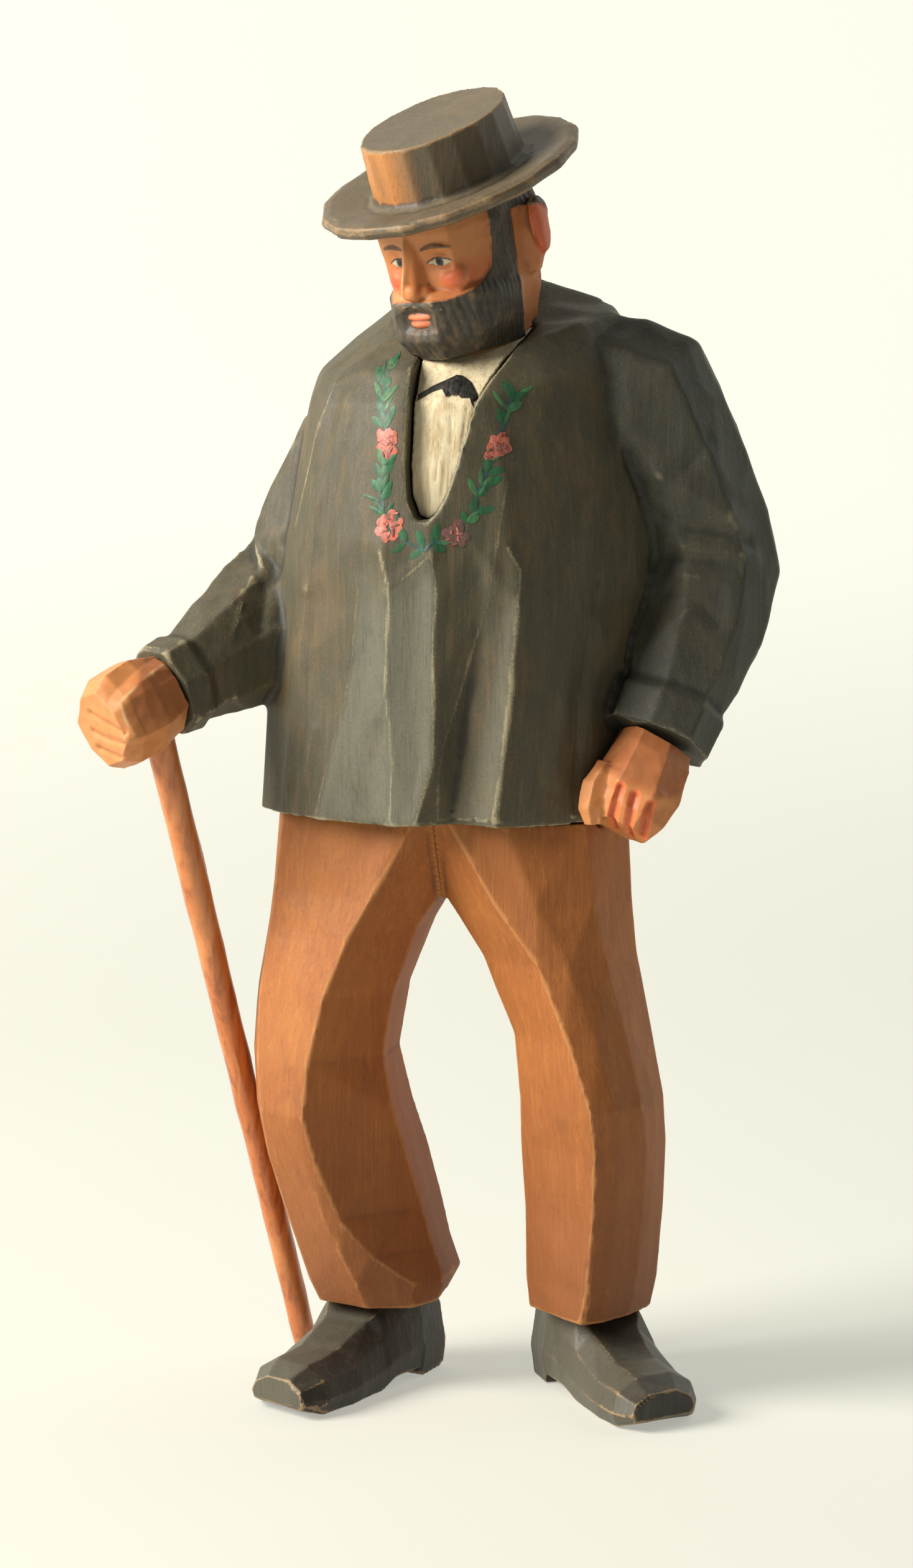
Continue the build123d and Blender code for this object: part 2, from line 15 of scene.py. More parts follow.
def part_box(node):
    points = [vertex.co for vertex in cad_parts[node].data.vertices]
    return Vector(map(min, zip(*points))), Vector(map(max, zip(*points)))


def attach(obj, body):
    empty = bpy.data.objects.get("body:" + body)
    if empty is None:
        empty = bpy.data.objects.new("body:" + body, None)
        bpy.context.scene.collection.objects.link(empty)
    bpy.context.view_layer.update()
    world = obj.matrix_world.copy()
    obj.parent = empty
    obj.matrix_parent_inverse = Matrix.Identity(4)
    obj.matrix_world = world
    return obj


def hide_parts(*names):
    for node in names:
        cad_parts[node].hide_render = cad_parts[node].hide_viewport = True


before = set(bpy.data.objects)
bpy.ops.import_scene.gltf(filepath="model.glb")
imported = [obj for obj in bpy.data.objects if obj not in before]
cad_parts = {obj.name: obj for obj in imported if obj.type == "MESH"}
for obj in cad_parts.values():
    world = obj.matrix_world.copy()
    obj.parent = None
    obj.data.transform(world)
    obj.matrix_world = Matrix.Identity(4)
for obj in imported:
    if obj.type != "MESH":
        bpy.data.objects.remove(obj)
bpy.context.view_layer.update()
MM = 0.001

HEAD_TURN, HEAD_LEAN, HEAD_NOD = radians(-30), radians(-4.5), radians(12)
HAT_NOD = radians(21)


def box_mm(node):
    low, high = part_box(node)
    return np.array(low) / MM, np.array(high) / MM


def box_centre(node):
    low, high = box_mm(node)
    return (low + high) / 2


# Tables of (x, z) points on the clothes and hands are measured with the smock's low corner here.
TABLE_ZERO = box_mm("smock")[0] - np.array([-31.0, -18.8, 100.0])


def as_mesh(bm, name):
    """A new mesh that takes over what a bmesh holds."""
    mesh = bpy.data.meshes.new(name)
    bm.to_mesh(mesh)
    bm.free()
    return mesh


def placed(name, data):
    """A new object in the scene."""
    obj = bpy.data.objects.new(name, data)
    bpy.context.scene.collection.objects.link(obj)
    return obj


def smooth_shaded(mesh):
    mesh.polygons.foreach_set("use_smooth", np.ones(len(mesh.polygons), dtype=bool))


def local_points(matrix, points):
    """Points as they lie in the axes of a matrix."""
    inverse = np.array(matrix.inverted())
    return points @ inverse[:3, :3].T + inverse[:3, 3]


# ---- carving -----------------------------------------------------------------
def node_mesh(node):
    """A copy of a CAD node's mesh with its split corners joined."""
    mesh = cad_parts[node].data.copy()
    mesh.materials.clear()
    bm = bmesh.new()
    bm.from_mesh(mesh)
    bmesh.ops.remove_doubles(bm, verts=bm.verts, dist=1e-6)
    bm.to_mesh(mesh)
    bm.free()
    return mesh


def blob_mesh(place, centre, radii, turn=(0, 0, 0), power=2.0):
    """A rounded lump; a power above 2 squares it up. Sizes are in mm and place is a matrix in mm."""
    bm = bmesh.new()
    bmesh.ops.create_icosphere(bm, subdivisions=5, radius=1.0)
    matrix = place @ blob_matrix(centre, turn)
    for v in bm.verts:
        size = sum(abs(c) ** power for c in v.co) ** (1 / power)
        v.co = (matrix @ Vector([c / size * r for c, r in zip(v.co, radii)])) * MM
    return as_mesh(bm, "lump")


def blob_matrix(centre, turn):
    x, y, z = (radians(a) for a in turn)
    return (Matrix.Translation(centre) @ Matrix.Rotation(z, 4, "Z") @ Matrix.Rotation(y, 4, "Y")
            @ Matrix.Rotation(x, 4, "X"))


def blob_reach(points, centre, radii, turn=(0, 0, 0), power=2.0):
    """How far out points lie in a lump: under 1 is inside it."""
    local = local_points(blob_matrix(centre, turn), points)
    return (np.abs(local / np.array(radii)) ** power).sum(1) ** (1 / power)


def wrapped(meshes, voxel_mm):
    """One even mesh round all the closed meshes given."""
    bm = bmesh.new()
    for mesh in meshes:
        bm.from_mesh(mesh)
    carrier = placed("carrier", as_mesh(bm, "joined"))
    remesh = carrier.modifiers.new("wrap", "REMESH")
    remesh.mode = "VOXEL"
    remesh.voxel_size = voxel_mm * MM
    graph = bpy.context.evaluated_depsgraph_get()
    skin = bpy.data.meshes.new_from_object(carrier.evaluated_get(graph))
    bpy.data.objects.remove(carrier)
    return skin


STROKE_TRIES = 2500  # points tried as the middle of a knife stroke
STROKE_GAP, STROKE_REACH = 0.6, 2.2  # least square distance between strokes, and how far one goes
SAME_SIDE = 0.4  # least cosine between the normals of a stroke's middle and of a point it shaves


class Skin:
    """An even mesh being carved: its points in mm and its edges."""

    def __init__(self, mesh):
        self.mesh = mesh
        co = np.empty(len(mesh.vertices) * 3)
        mesh.vertices.foreach_get("co", co)
        self.co = co.reshape(-1, 3) / MM
        pairs = np.empty(len(mesh.edges) * 2, dtype=np.int64)
        mesh.edges.foreach_get("vertices", pairs)
        self.a, self.b = pairs.reshape(-1, 2).T
        ends = np.concatenate([self.a, self.b])
        self.count = np.maximum(np.bincount(ends, minlength=len(self.co)), 1)
        self.scored = np.zeros(len(self.co))

    def around(self, values):
        """The mean of each point's neighbours."""
        if values.ndim > 1:
            return np.stack([self.around(column) for column in values.T], 1)
        n = len(self.co)
        total = np.bincount(self.a, values[self.b], n) + np.bincount(self.b, values[self.a], n)
        return total / self.count

    def store(self):
        self.mesh.vertices.foreach_set("co", (self.co * MM).ravel())
        self.mesh.update()

    def normals(self, rounds=0):
        self.store()
        out = np.empty(len(self.co) * 3)
        self.mesh.vertex_normals.foreach_get("vector", out)
        out = out.reshape(-1, 3)
        for _ in range(rounds):
            out = self.around(out)
        return out / np.maximum(np.linalg.norm(out, axis=1, keepdims=True), 1e-9)

    def smooth(self, rounds, share=0.5):
        """Softens the surface; share is one number, or one for each point."""
        share = np.broadcast_to(share, len(self.co))[:, None]
        for _ in range(rounds):
            self.co += share * (self.around(self.co) - self.co)

    def knife_cuts(self, spacing, depth, lean=0.3, stretch=(1, 1, 1), seed=1, where=1.0):
        """Shaves the surface with shallow strokes that meet at low ridges.

        Distances between points are measured in strokes: spacing is a stroke's width in mm, and
        stretch lengthens it along an axis. A stroke may lean, so that one side cuts deeper.
        """
        rng = np.random.default_rng(seed)
        normals = self.normals(2)
        metric = self.co / (spacing * np.array(stretch))
        picks = []
        for i in rng.permutation(len(self.co))[:STROKE_TRIES]:
            if not picks or ((metric[picks] - metric[i]) ** 2).sum(1).min() > STROKE_GAP:
                picks.append(i)
        cut = np.zeros(len(self.co))
        for i in picks:
            away = ((metric - metric[i]) ** 2).sum(1)
            near = np.flatnonzero((away < STROKE_REACH) & (normals @ normals[i] > SAME_SIDE))
            slope = rng.normal(size=3) * lean
            shape = rng.uniform(0.7, 1.1) - away[near] + (metric[near] - metric[i]) @ slope
            cut[near] = np.maximum(cut[near], depth * shape)
        self.co -= normals * (cut * where)[:, None]

    def crease(self, path, width, height, mark=0.0):
        """Raises a ridge along a path of points in mm, or cuts a groove when height is negative."""
        share = np.clip(1 - path_distance(self.co, path) / width, 0, 1)
        self.co += self.normals() * (height * share)[:, None]
        self.scored = np.maximum(self.scored, mark * share)

    def swell(self, amount):
        """Moves each point out along its normal."""
        self.co += self.normals() * amount[:, None]

    def edges_and_hollows(self, reach=4):
        """How sharply the surface stands out (edge) or folds in (hollow) at each point, 0 to 1."""
        normals = self.normals()
        lift = self.co.copy()
        for _ in range(reach):
            lift = self.around(lift)
        height = ((self.co - lift) * normals).sum(1)
        scale = max(np.percentile(np.abs(height), 97), 1e-6)
        return np.clip(height / scale, 0, 1.5), np.clip(-height / scale, 0, 1.5)


def path_distance(points, path):
    """How far each point lies from a path of straight stretches."""
    best = np.full(len(points), 1e9)
    for a, b in zip(path, path[1:]):
        a, b = np.array(a, float), np.array(b, float)
        along = np.clip(((points - a) @ (b - a)) / max((b - a) @ (b - a), 1e-9), 0, 1)
        best = np.minimum(best, np.linalg.norm(points - a - along[:, None] * (b - a), axis=1))
    return best


def noise3(points, scale, seed):
    """Smooth random values near -1 to 1: a sum of waves in random directions."""
    rng = np.random.default_rng(seed)
    total = np.zeros(len(points))
    for octave in range(3):
        for _ in range(5):
            direction = rng.normal(size=3) * 2 * pi / scale * 1.7 ** octave
            total += np.sin(points @ direction + rng.uniform(0, 2 * pi)) * 0.6 ** octave
    return total / 4


def attribute(mesh, name, values):
    """Stores a number or a colour on each point of a mesh."""
    if values.ndim == 1:
        mesh.attributes.new(name, "FLOAT", "POINT").data.foreach_set("value", values.astype(np.float32))
    else:
        rgba = np.concatenate([values, np.ones((len(values), 1))], 1).astype(np.float32)
        mesh.attributes.new(name, "FLOAT_COLOR", "POINT").data.foreach_set("color", rgba.ravel())


def piece(name, mesh, material, node=None):
    """Adds a finished piece to the scene, riding on the figure's one body."""
    mesh.name = name
    mesh.materials.clear()
    mesh.materials.append(material)
    smooth_shaded(mesh)
    obj = placed(name, mesh)
    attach(obj, "root")
    if node:
        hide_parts(node)


def finished(name, skin, material, slot, node, **extra):
    """Stores the wear attributes on a carved skin and adds it as a piece."""
    edge, hollow = skin.edges_and_hollows()
    attribute(skin.mesh, "edge", edge)
    attribute(skin.mesh, "hollow", np.maximum(hollow, skin.scored))
    for key, values in extra.items():
        attribute(skin.mesh, key, values)
    piece(name, skin.mesh, material, node)


# ---- materials ---------------------------------------------------------------
def linear(r, g, b):
    """A colour given as 0 to 255 display values."""
    return tuple(((c / 255 + 0.055) / 1.055) ** 2.4 if c > 10 else c / 255 / 12.92 for c in (r, g, b))


class Shader:
    """A short way to write a material's nodes."""

    def __init__(self, name, roughness=0.5, specular=0.4, coat=0.0):
        self.material = bpy.data.materials.new(name)
        self.material.use_nodes = True
        self.tree = self.material.node_tree
        self.surface = self.tree.nodes["Principled BSDF"]
        self.surface.inputs["Roughness"].default_value = roughness
        self.surface.inputs["Specular IOR Level"].default_value = specular
        self.surface.inputs["Coat Weight"].default_value = coat
        self.surface.inputs["Coat Roughness"].default_value = 0.25
        self.coords = self.node("ShaderNodeTexCoord").outputs["Object"]

    def node(self, kind, **settings):
        node = self.tree.nodes.new(kind)
        for key, value in settings.items():
            setattr(node, key, value)
        return node

    def put(self, socket, value):
        if isinstance(value, bpy.types.NodeSocket):
            self.tree.links.new(value, socket)
        elif isinstance(value, tuple) and len(value) == 3 and socket.type == "RGBA":
            socket.default_value = (*value, 1)
        else:
            socket.default_value = value

    def maths(self, operation, a, b=0.0, clamp=False):
        node = self.node("ShaderNodeMath", operation=operation, use_clamp=clamp)
        self.put(node.inputs[0], a)
        self.put(node.inputs[1], b)
        return node.outputs[0]

    def noise(self, scale, stretch, detail, roughness, distortion=0.0):
        """Noise with its scale in features per mm; stretch lengthens it along an axis."""
        mapping = self.node("ShaderNodeMapping")
        self.put(mapping.inputs["Vector"], self.coords)
        mapping.inputs["Scale"].default_value = tuple(1 / MM / s for s in stretch)
        node = self.node("ShaderNodeTexNoise")
        self.put(node.inputs["Vector"], mapping.outputs[0])
        for key, value in (("Scale", scale), ("Detail", detail), ("Roughness", roughness),
                           ("Distortion", distortion)):
            node.inputs[key].default_value = value
        return node.outputs["Fac"]

    def step(self, value, low, high):
        """0 below low, 1 above high, smooth between."""
        node = self.node("ShaderNodeMapRange", interpolation_type="SMOOTHSTEP")
        self.put(node.inputs["Value"], value)
        node.inputs["From Min"].default_value = low
        node.inputs["From Max"].default_value = high
        return node.outputs["Result"]

    def mix(self, share, a, b):
        """A mix of two colours; the node's sockets for colours go by their numbers."""
        node = self.node("ShaderNodeMix", data_type="RGBA")
        self.put(node.inputs["Factor"], share)
        self.put(node.inputs[6], a)
        self.put(node.inputs[7], b)
        return node.outputs[2]

    def overlay(self, below, above, mask, low, high, share):
        """Lays one colour over another where the mask rises from low to high, up to a share."""
        return self.mix(self.maths("MULTIPLY", self.step(mask, low, high), share), below, above)

    def uneven(self, value, noise, amount):
        """A value that noise moves up and down."""
        swing = self.maths("MULTIPLY", self.maths("SUBTRACT", noise, 0.5), amount)
        return self.maths("ADD", value, swing)

    def attribute(self, name, colour=False):
        node = self.node("ShaderNodeAttribute", attribute_name=name)
        return node.outputs["Color" if colour else "Fac"]

    def bump(self, height, strength, distance_mm, previous=None):
        node = self.node("ShaderNodeBump")
        node.inputs["Strength"].default_value = strength
        node.inputs["Distance"].default_value = distance_mm * MM
        self.put(node.inputs["Height"], height)
        if previous is not None:
            self.put(node.inputs["Normal"], previous)
        return node.outputs["Normal"]

    def finish(self, colour, roughness=None, normal=None):
        self.put(self.surface.inputs["Base Color"], colour)
        if roughness is not None:
            self.put(self.surface.inputs["Roughness"], roughness)
        if normal is not None:
            self.put(self.surface.inputs["Normal"], normal)
        return self.material


BARE_WOOD = linear(206, 158, 104)
DARK_GRAIN = linear(150, 98, 52)
GRAIN = (1, 1, 16)  # the block's grain runs up the figure


def coated_wood(name, coat, thin, deep, worn, grain_show, edge_wear, patches,
                roughness=(0.42, 0.62), speckle=0.25, tint=None):
    """Paint or stain over grainy wood, its colours given as display values.

    coat is the usual colour, thin the colour where it lies thinly over the grain, deep the darker
    colour laid in hollows, worn the colour of rubbed edges, tint a colour for part of a piece.
    """
    coat, thin, deep, worn = (linear(*colour) for colour in (coat, thin, deep, worn))
    s = Shader(name)
    streaks = s.noise(1.1, GRAIN, 5, 0.6, 0.4)
    fibres = s.noise(3.4, (1, 1, 22), 3, 0.6)
    blotches = s.noise(0.09, (1, 1, 2.2), 4, 0.6, 0.6)
    grit = s.noise(3.2, (1, 1, 1.4), 3, 0.7)
    stains = s.noise(0.16, (1, 1, 1.6), 5, 0.65, 0.8)
    colour = s.overlay(coat, thin, streaks, 0.44, 0.72, grain_show)
    colour = s.overlay(colour, thin, blotches, 0.48, 0.72, patches)
    # The tint colour shows in blotches where the tint attribute is set: on the shoes a painted
    # highlight on the side facing the key lamp, on the smock fading with a painted sheen, on the
    # trousers a darker lower part, on the hat a tan crown.
    if tint is not None:
        recolour_share = s.maths("MULTIPLY", s.attribute("tint"), s.step(blotches, 0.18, 0.45))
        colour = s.mix(s.maths("MULTIPLY", recolour_share, 0.85), colour, linear(*tint))
    colour = s.overlay(colour, deep, stains, 0.5, 0.75, 0.55 * patches)
    colour = s.overlay(colour, deep, fibres, 0.52, 0.75, 0.35)
    colour = s.overlay(colour, deep, grit, 0.5, 0.8, speckle)
    colour = s.overlay(colour, worn, grit, 0.42, 0.25, 0.5 * speckle)
    colour = s.overlay(colour, deep, s.attribute("hollow"), 0.15, 1.0, 0.75)
    rub = s.uneven(s.uneven(s.attribute("edge"), grit, 1.1), blotches, 1.4)
    colour = s.overlay(colour, worn, rub, 0.45, 1.05, edge_wear)
    rough = s.maths("ADD", roughness[0], s.maths("MULTIPLY", grit, roughness[1] - roughness[0]))
    normal = s.bump(fibres, 0.25, 0.12)
    normal = s.bump(streaks, 0.25, 0.35, normal)
    normal = s.bump(grit, 0.18, 0.08, normal)
    return s.finish(colour, rough, normal)


def flesh_wood():
    """Painted skin and hair: the colour lies on the points, the grain shows faintly through."""
    s = Shader("painted_head", 0.5, 0.4)
    paint = s.attribute("paint", colour=True)
    fibres = s.noise(2.4, (1, 1, 14), 3, 0.6)
    mottle = s.noise(0.5, (1, 1, 2), 4, 0.6)
    colour = s.overlay(paint, BARE_WOOD, mottle, 0.45, 0.75, 0.16)
    colour = s.overlay(colour, DARK_GRAIN, fibres, 0.5, 0.75, 0.16)
    colour = s.overlay(colour, linear(70, 38, 20), s.attribute("hollow"), 0.3, 1.2, 0.4)
    rub = s.uneven(s.attribute("edge"), mottle, 1.0)
    colour = s.overlay(colour, linear(226, 178, 120), rub, 0.7, 1.4, 0.25)
    rough = s.maths("ADD", 0.36, s.maths("MULTIPLY", mottle, 0.3))
    normal = s.bump(fibres, 0.15, 0.08)
    normal = s.bump(mottle, 0.15, 0.15, normal)
    return s.finish(colour, rough, normal)


def oil_paint(name, colour, shade):
    """Thick brush paint, a little uneven and rubbed."""
    s = Shader(name, 0.45, 0.45)
    strokes = s.noise(1.6, (1, 1, 3), 4, 0.6)
    rubs = s.noise(0.8, (1, 1, 2), 4, 0.65)
    mixed = s.mix(s.step(strokes, 0.4, 0.7), linear(*colour), linear(*shade))
    mixed = s.overlay(mixed, linear(70, 66, 52), rubs, 0.5, 0.66, 0.55)
    return s.finish(mixed, s.maths("ADD", 0.35, s.maths("MULTIPLY", strokes, 0.3)),
                    s.bump(strokes, 0.4, 0.1))


def varnished_stick():
    s = Shader("varnished_stick", 0.3, 0.5, coat=0.35)
    axis = s.noise(0.8, (1, 1, 14), 4, 0.6, 0.3)
    blotches = s.noise(0.12, (1, 1, 3), 4, 0.6)
    pores = s.noise(4.0, (1, 1, 10), 3, 0.6)
    colour = s.mix(s.step(axis, 0.4, 0.7), linear(196, 112, 54), linear(150, 78, 34))
    colour = s.overlay(colour, linear(216, 142, 82), blotches, 0.5, 0.7, 0.6)
    colour = s.overlay(colour, linear(92, 48, 24), pores, 0.58, 0.78, 0.4)
    rub = s.uneven(s.attribute("edge"), axis, 1.5)
    colour = s.overlay(colour, linear(222, 162, 104), rub, 0.6, 1.2, 0.4)
    colour = s.overlay(colour, linear(84, 46, 26), s.attribute("hollow"), 0.2, 1.0, 0.5)
    rough = s.maths("ADD", 0.22, s.maths("MULTIPLY", blotches, 0.3))
    return s.finish(colour, rough, s.bump(axis, 0.2, 0.2))


# ---- coat: smock and sleeves, carved as one ----------------------------------
# The smock's tint is the paler grey on the pleats' fronts: fading, and a painted sheen.
SMOCK_LOOK = dict(coat=(76, 72, 55), thin=(108, 88, 57), deep=(40, 40, 33),
                  worn=(170, 160, 128), grain_show=0.5, edge_wear=0.6, patches=0.5,
                  roughness=(0.5, 0.7), speckle=0.4, tint=(104, 102, 86))
# A darker copy of the smock's paint for the left sleeve: painted shade, where the body shades that arm.
SHADED_SLEEVE_LOOK = dict(SMOCK_LOOK, coat=(64, 63, 53), thin=(82, 74, 54), edge_wear=0.3)
COAT_NODES = ("smock", "sleeve_left", "sleeve_right")


def mesh_tree(mesh):
    """A search tree over a mesh, in mm."""
    verts = [v.co / MM for v in mesh.vertices]
    return BVHTree.FromPolygons(verts, [tuple(p.vertices) for p in mesh.polygons])


def from_front(tree, x, z):
    """The first point and normal met from the front at x and z of the tables, in mm."""
    hit, normal, _, _ = tree.ray_cast(Vector((x + TABLE_ZERO[0], -200.0, z)), Vector((0, 1, 0)))
    return (hit, normal) if hit else (None, None)


def front_path(tree, points, step=1.0):
    """A path on the surface under the given (x, z) points, as seen from the front."""
    path = []
    for (x0, z0), (x1, z1) in zip(points, points[1:]):
        count = max(2, int(np.hypot(x1 - x0, z1 - z0) / step))
        for t in np.linspace(0, 1, count):
            hit, _ = from_front(tree, x0 + t * (x1 - x0), z0 + t * (z1 - z0))
            if hit:
                path.append(tuple(hit))
    return path


# Folds of the cloth as (x, z) lines seen from the front, each with its width and height.
FOLDS = [
    # left sleeve
    ([(38.5, 158), (46, 154), (52, 149)], 3.4, 0.55),
    ([(39, 150.5), (44, 148.6), (50, 147.5), (53.5, 146)], 2.0, -0.35),
    ([(39.6, 146.6), (44, 145.2), (49, 144.6), (54, 144)], 3.0, 0.45),
    ([(41, 141), (46.6, 140.6), (50.3, 139.4), (51, 135.5)], 2.4, 0.4),
    ([(40, 137.5), (45, 136.8), (48.5, 133)], 1.8, -0.3),
    ([(47, 164), (43, 159), (39, 155)], 2.4, -0.35),
    # right sleeve
    ([(-25.4, 159), (-28.6, 152.4), (-30, 148)], 3.8, 0.5),
    ([(-27.6, 149), (-29.2, 147.4), (-33.4, 145.4)], 2.2, -0.3),
    ([(-27.2, 146.6), (-30.2, 141.4), (-31.4, 137.2)], 4.2, 0.5),
    ([(-28, 139.4), (-29.4, 137.8), (-34.4, 136.6)], 2.2, -0.3),
    ([(-26.6, 136), (-31.4, 132.6), (-36, 132)], 3.4, 0.4),
    # body of the smock
    ([(33, 166), (31, 160), (28.9, 152.6), (26.4, 132), (23.8, 108)], 2.4, 0.5),
    ([(30, 140), (27.4, 122), (26.6, 103)], 1.8, -0.4),
    ([(-24.6, 165), (-25.6, 150), (-26.6, 132)], 1.6, 0.35),
    ([(-17, 166), (-17.6, 148), (-20.4, 128), (-22.6, 104)], 2.4, 0.4),
]
# The pleats' crests on the smock's front, right to left, as (x, z) points going down.
OUTER_PLEAT = [(-8.6, 140), (-9.4, 134.8), (-10, 128.6), (-11.8, 119.2), (-13.9, 113), (-17, 101)]
RIGHT_PLEAT = [(-4.5, 146.4), (-3, 141), (-2.9, 138.6), (-3.4, 129.8), (-3.7, 122.3), (-3, 117.3),
               (-2.6, 111), (-3.2, 101)]
MIDDLE_PLEAT = [(4.4, 146), (5.2, 139.8), (4.5, 131), (4.7, 122), (4.4, 111), (1.4, 101)]
SLANT_PLEAT = [(16.2, 158), (15, 148.6), (13.5, 139), (10.3, 128.6), (8.6, 122.3), (6.2, 114.7),
               (5.1, 109.8), (4.7, 101)]
LEFT_PLEAT = [(16.5, 147.3), (18.6, 143.6), (18.5, 138.6), (17.3, 123.6), (16.5, 116), (14.2, 101)]
SIDE_PLEAT = [(-17.6, 115), (-19.3, 107.3), (-21.3, 101)]
PLEAT_TOP = [(4.5, 146.4), (-2.9, 140)]
# The knife's edges between the smock's front and its right sleeve.
ARMHOLE_CUT = [(-15.2, 173), (-18.4, 163), (-22.0, 149)]
SHOULDER_CUT = [(-12.2, 171.6), (-14.4, 163), (-18.2, 149), (-19.6, 139)]
# Each crest with the width and height of its ridge, and how pale its rubbed edge is.
CRESTS = [(OUTER_PLEAT, 3.0, 0.3, 0.4), (RIGHT_PLEAT, 4.2, 0.55, 0.55), (MIDDLE_PLEAT, 2.4, 0.25, 0.5),
          (SLANT_PLEAT, 2.0, 0.2, 0.4), (LEFT_PLEAT, 2.2, 0.25, 0.5), (SIDE_PLEAT, 1.8, 0.4, 0.4),
          (PLEAT_TOP, 2.2, 0.3, 0.5), (ARMHOLE_CUT, 2.2, 0.45, 0.5), (SHOULDER_CUT, 2.0, 0.35, 0.3)]


def crest_x(z, line):
    """The x of a pleat's crest at the heights z."""
    points = sorted(line, key=lambda point: point[1])
    return np.interp(z, [p[1] for p in points], [p[0] for p in points])


def sheen_and_fading(x, z):
    """How far the smock's paint is paler grey on the front of its pleats, 0 to 1: fading, and a painted
    sheen.
    """
    right, middle = crest_x(z, OUTER_PLEAT), crest_x(z, MIDDLE_PLEAT)
    slant, left = crest_x(z, SLANT_PLEAT), crest_x(z, LEFT_PLEAT)
    broad = np.clip((x - right) / 0.8, 0, 1) * np.clip((middle - x) / 0.5, 0, 1)
    below_v = np.clip((140 + 0.86 * (x + 2.9) - z) / 0.8, 0, 1)
    broad *= np.where(x > crest_x(z, RIGHT_PLEAT), below_v, np.clip((146 - z) / 12, 0, 1))
    narrow = np.clip((x - (slant + left) / 2) / 2, 0, 1) * np.clip((left - x) / 0.5, 0, 1)
    return np.maximum(broad, 0.6 * narrow * (z < 150))


SHOULDERS_FROM = 160.0  # height above which the armholes are softened
ARMHOLES = [(31, 9), (-21, 6)]  # x of each one's middle, and its breadth
BODY = (-31, 26)  # x range of the long cuts down the smock; the sleeves' cuts are shorter
SHEEN_AND_FADING_BEFORE = 6  # y up to which the pleats' fronts are paler: fading, and a painted sheen


def make_coat(materials):
    """Carves smock and sleeves as one surface, then parts it again into the three nodes."""
    skin = Skin(wrapped([node_mesh(node) for node in COAT_NODES], 0.5))
    x = skin.co[:, 0] - TABLE_ZERO[0]
    shoulder = np.clip((skin.co[:, 2] - SHOULDERS_FROM) / 8, 0, 1)
    armhole = sum(np.exp(-(((x - middle) / breadth) ** 2)) for middle, breadth in ARMHOLES)
    skin.smooth(24, np.clip(0.08 + armhole, 0, 1) * shoulder * 0.5)
    skin.smooth(2)
    tree = mesh_tree(skin.mesh)
    for line, width, height in FOLDS:
        skin.crease(front_path(tree, line), width, height)
    recolour_share = np.zeros(len(skin.co))
    for line, width, height, pale in CRESTS:
        path = front_path(tree, line)
        recolour_share = np.maximum(recolour_share, pale * np.clip(1.4 - path_distance(skin.co, path) / 0.4, 0, 1))
        skin.crease(path, width, height)
    body = (x > BODY[0]) & (x < BODY[1])
    skin.knife_cuts(8.5, 0.4, 0.3, (1, 1, 3.2), seed=3, where=body * 1.0)
    skin.knife_cuts(6.0, 0.5, 0.35, (1, 1, 1.7), seed=4, where=~body * 1.0)
    skin.smooth(1)
    skin.store()
    edge, hollow = skin.edges_and_hollows()
    edge = np.maximum(0.7 * edge, 1.6 * recolour_share)
    # The pleats' fronts turn paler grey: fading, and a painted sheen.
    tint = sheen_and_fading(x, skin.co[:, 2]) * (skin.co[:, 1] < SHEEN_AND_FADING_BEFORE + TABLE_ZERO[1])
    wear_and_sheen = {"edge": edge, "hollow": np.maximum(hollow, skin.scored), "tint": tint}
    part_coat(skin, x, wear_and_sheen, materials)
    return mesh_tree(skin.mesh)


def part_coat(skin, x, wear_and_sheen, materials):
    """Parts the carved coat into its three nodes; a point goes to the node that it lies nearest."""
    normals = skin.normals()
    label = np.zeros(len(skin.co), dtype=int)
    trees = [mesh_tree(node_mesh(node)) for node in COAT_NODES]
    for k in np.flatnonzero((x > 15) | (x < -13)):
        side = 1 if x[k] > 0 else 2
        point = Vector(skin.co[k])
        label[k] = side if trees[side].find_nearest(point)[3] < trees[0].find_nearest(point)[3] else 0
    corners = np.empty(len(skin.mesh.loops), dtype=np.int64)
    skin.mesh.loops.foreach_get("vertex_index", corners)
    faces = corners.reshape(-1, 4)
    for k, node in enumerate(COAT_NODES):
        chosen = faces[label[faces[:, 0]] == k]
        used, renumbered = np.unique(chosen, return_inverse=True)
        mesh = bpy.data.meshes.new(node)
        mesh.from_pydata((skin.co[used] * MM).tolist(), [], renumbered.reshape(-1, 4).tolist())
        for key, values in wear_and_sheen.items():
            attribute(mesh, key, values[used])
        piece(node + "_carved", mesh, materials[k], node)
        mesh.normals_split_custom_set_from_vertices(normals[used].tolist())


# ---- other clothes -----------------------------------------------------------
def carve(node, voxel_mm, rounds, **cuts):
    """A CAD node wrapped in an even mesh, shaved with knife cuts and then softened."""
    skin = Skin(wrapped([node_mesh(node)], voxel_mm))
    skin.knife_cuts(**cuts)
    skin.smooth(rounds)
    return skin


CROTCH = 84.0  # height above which the two legs meet in the seam plane
DARKER_BELOW = 62.0  # height below which the trousers grow darker


def make_trousers():
    material = coated_wood("trouser_stain", (158, 94, 44), (178, 112, 52), (100, 58, 32),
                           worn=(204, 146, 88), grain_show=0.6, edge_wear=0.36, patches=0.5,
                           roughness=(0.55, 0.75), speckle=0.35, tint=(116, 66, 34))
    seam = box_mm("trouser_leg_left")[0][0]
    for side, seed in (("left", 21), ("right", 22)):
        node = "trouser_leg_" + side
        skin = carve(node, 0.5, 1, spacing=9.0, depth=0.3, stretch=(1, 1, 2.6), seed=seed)
        meeting = (np.abs(skin.co[:, 0] - seam) < 0.8) & (skin.co[:, 2] > CROTCH)
        skin.co[meeting, 0] = seam
        # The tint darkens the legs towards the bottom.
        darker_low = 0.8 * np.clip((DARKER_BELOW - skin.co[:, 2]) / 45, 0, 1)
        finished(f"{side}_trouser_leg", skin, material, "trousers", node, tint=darker_low)


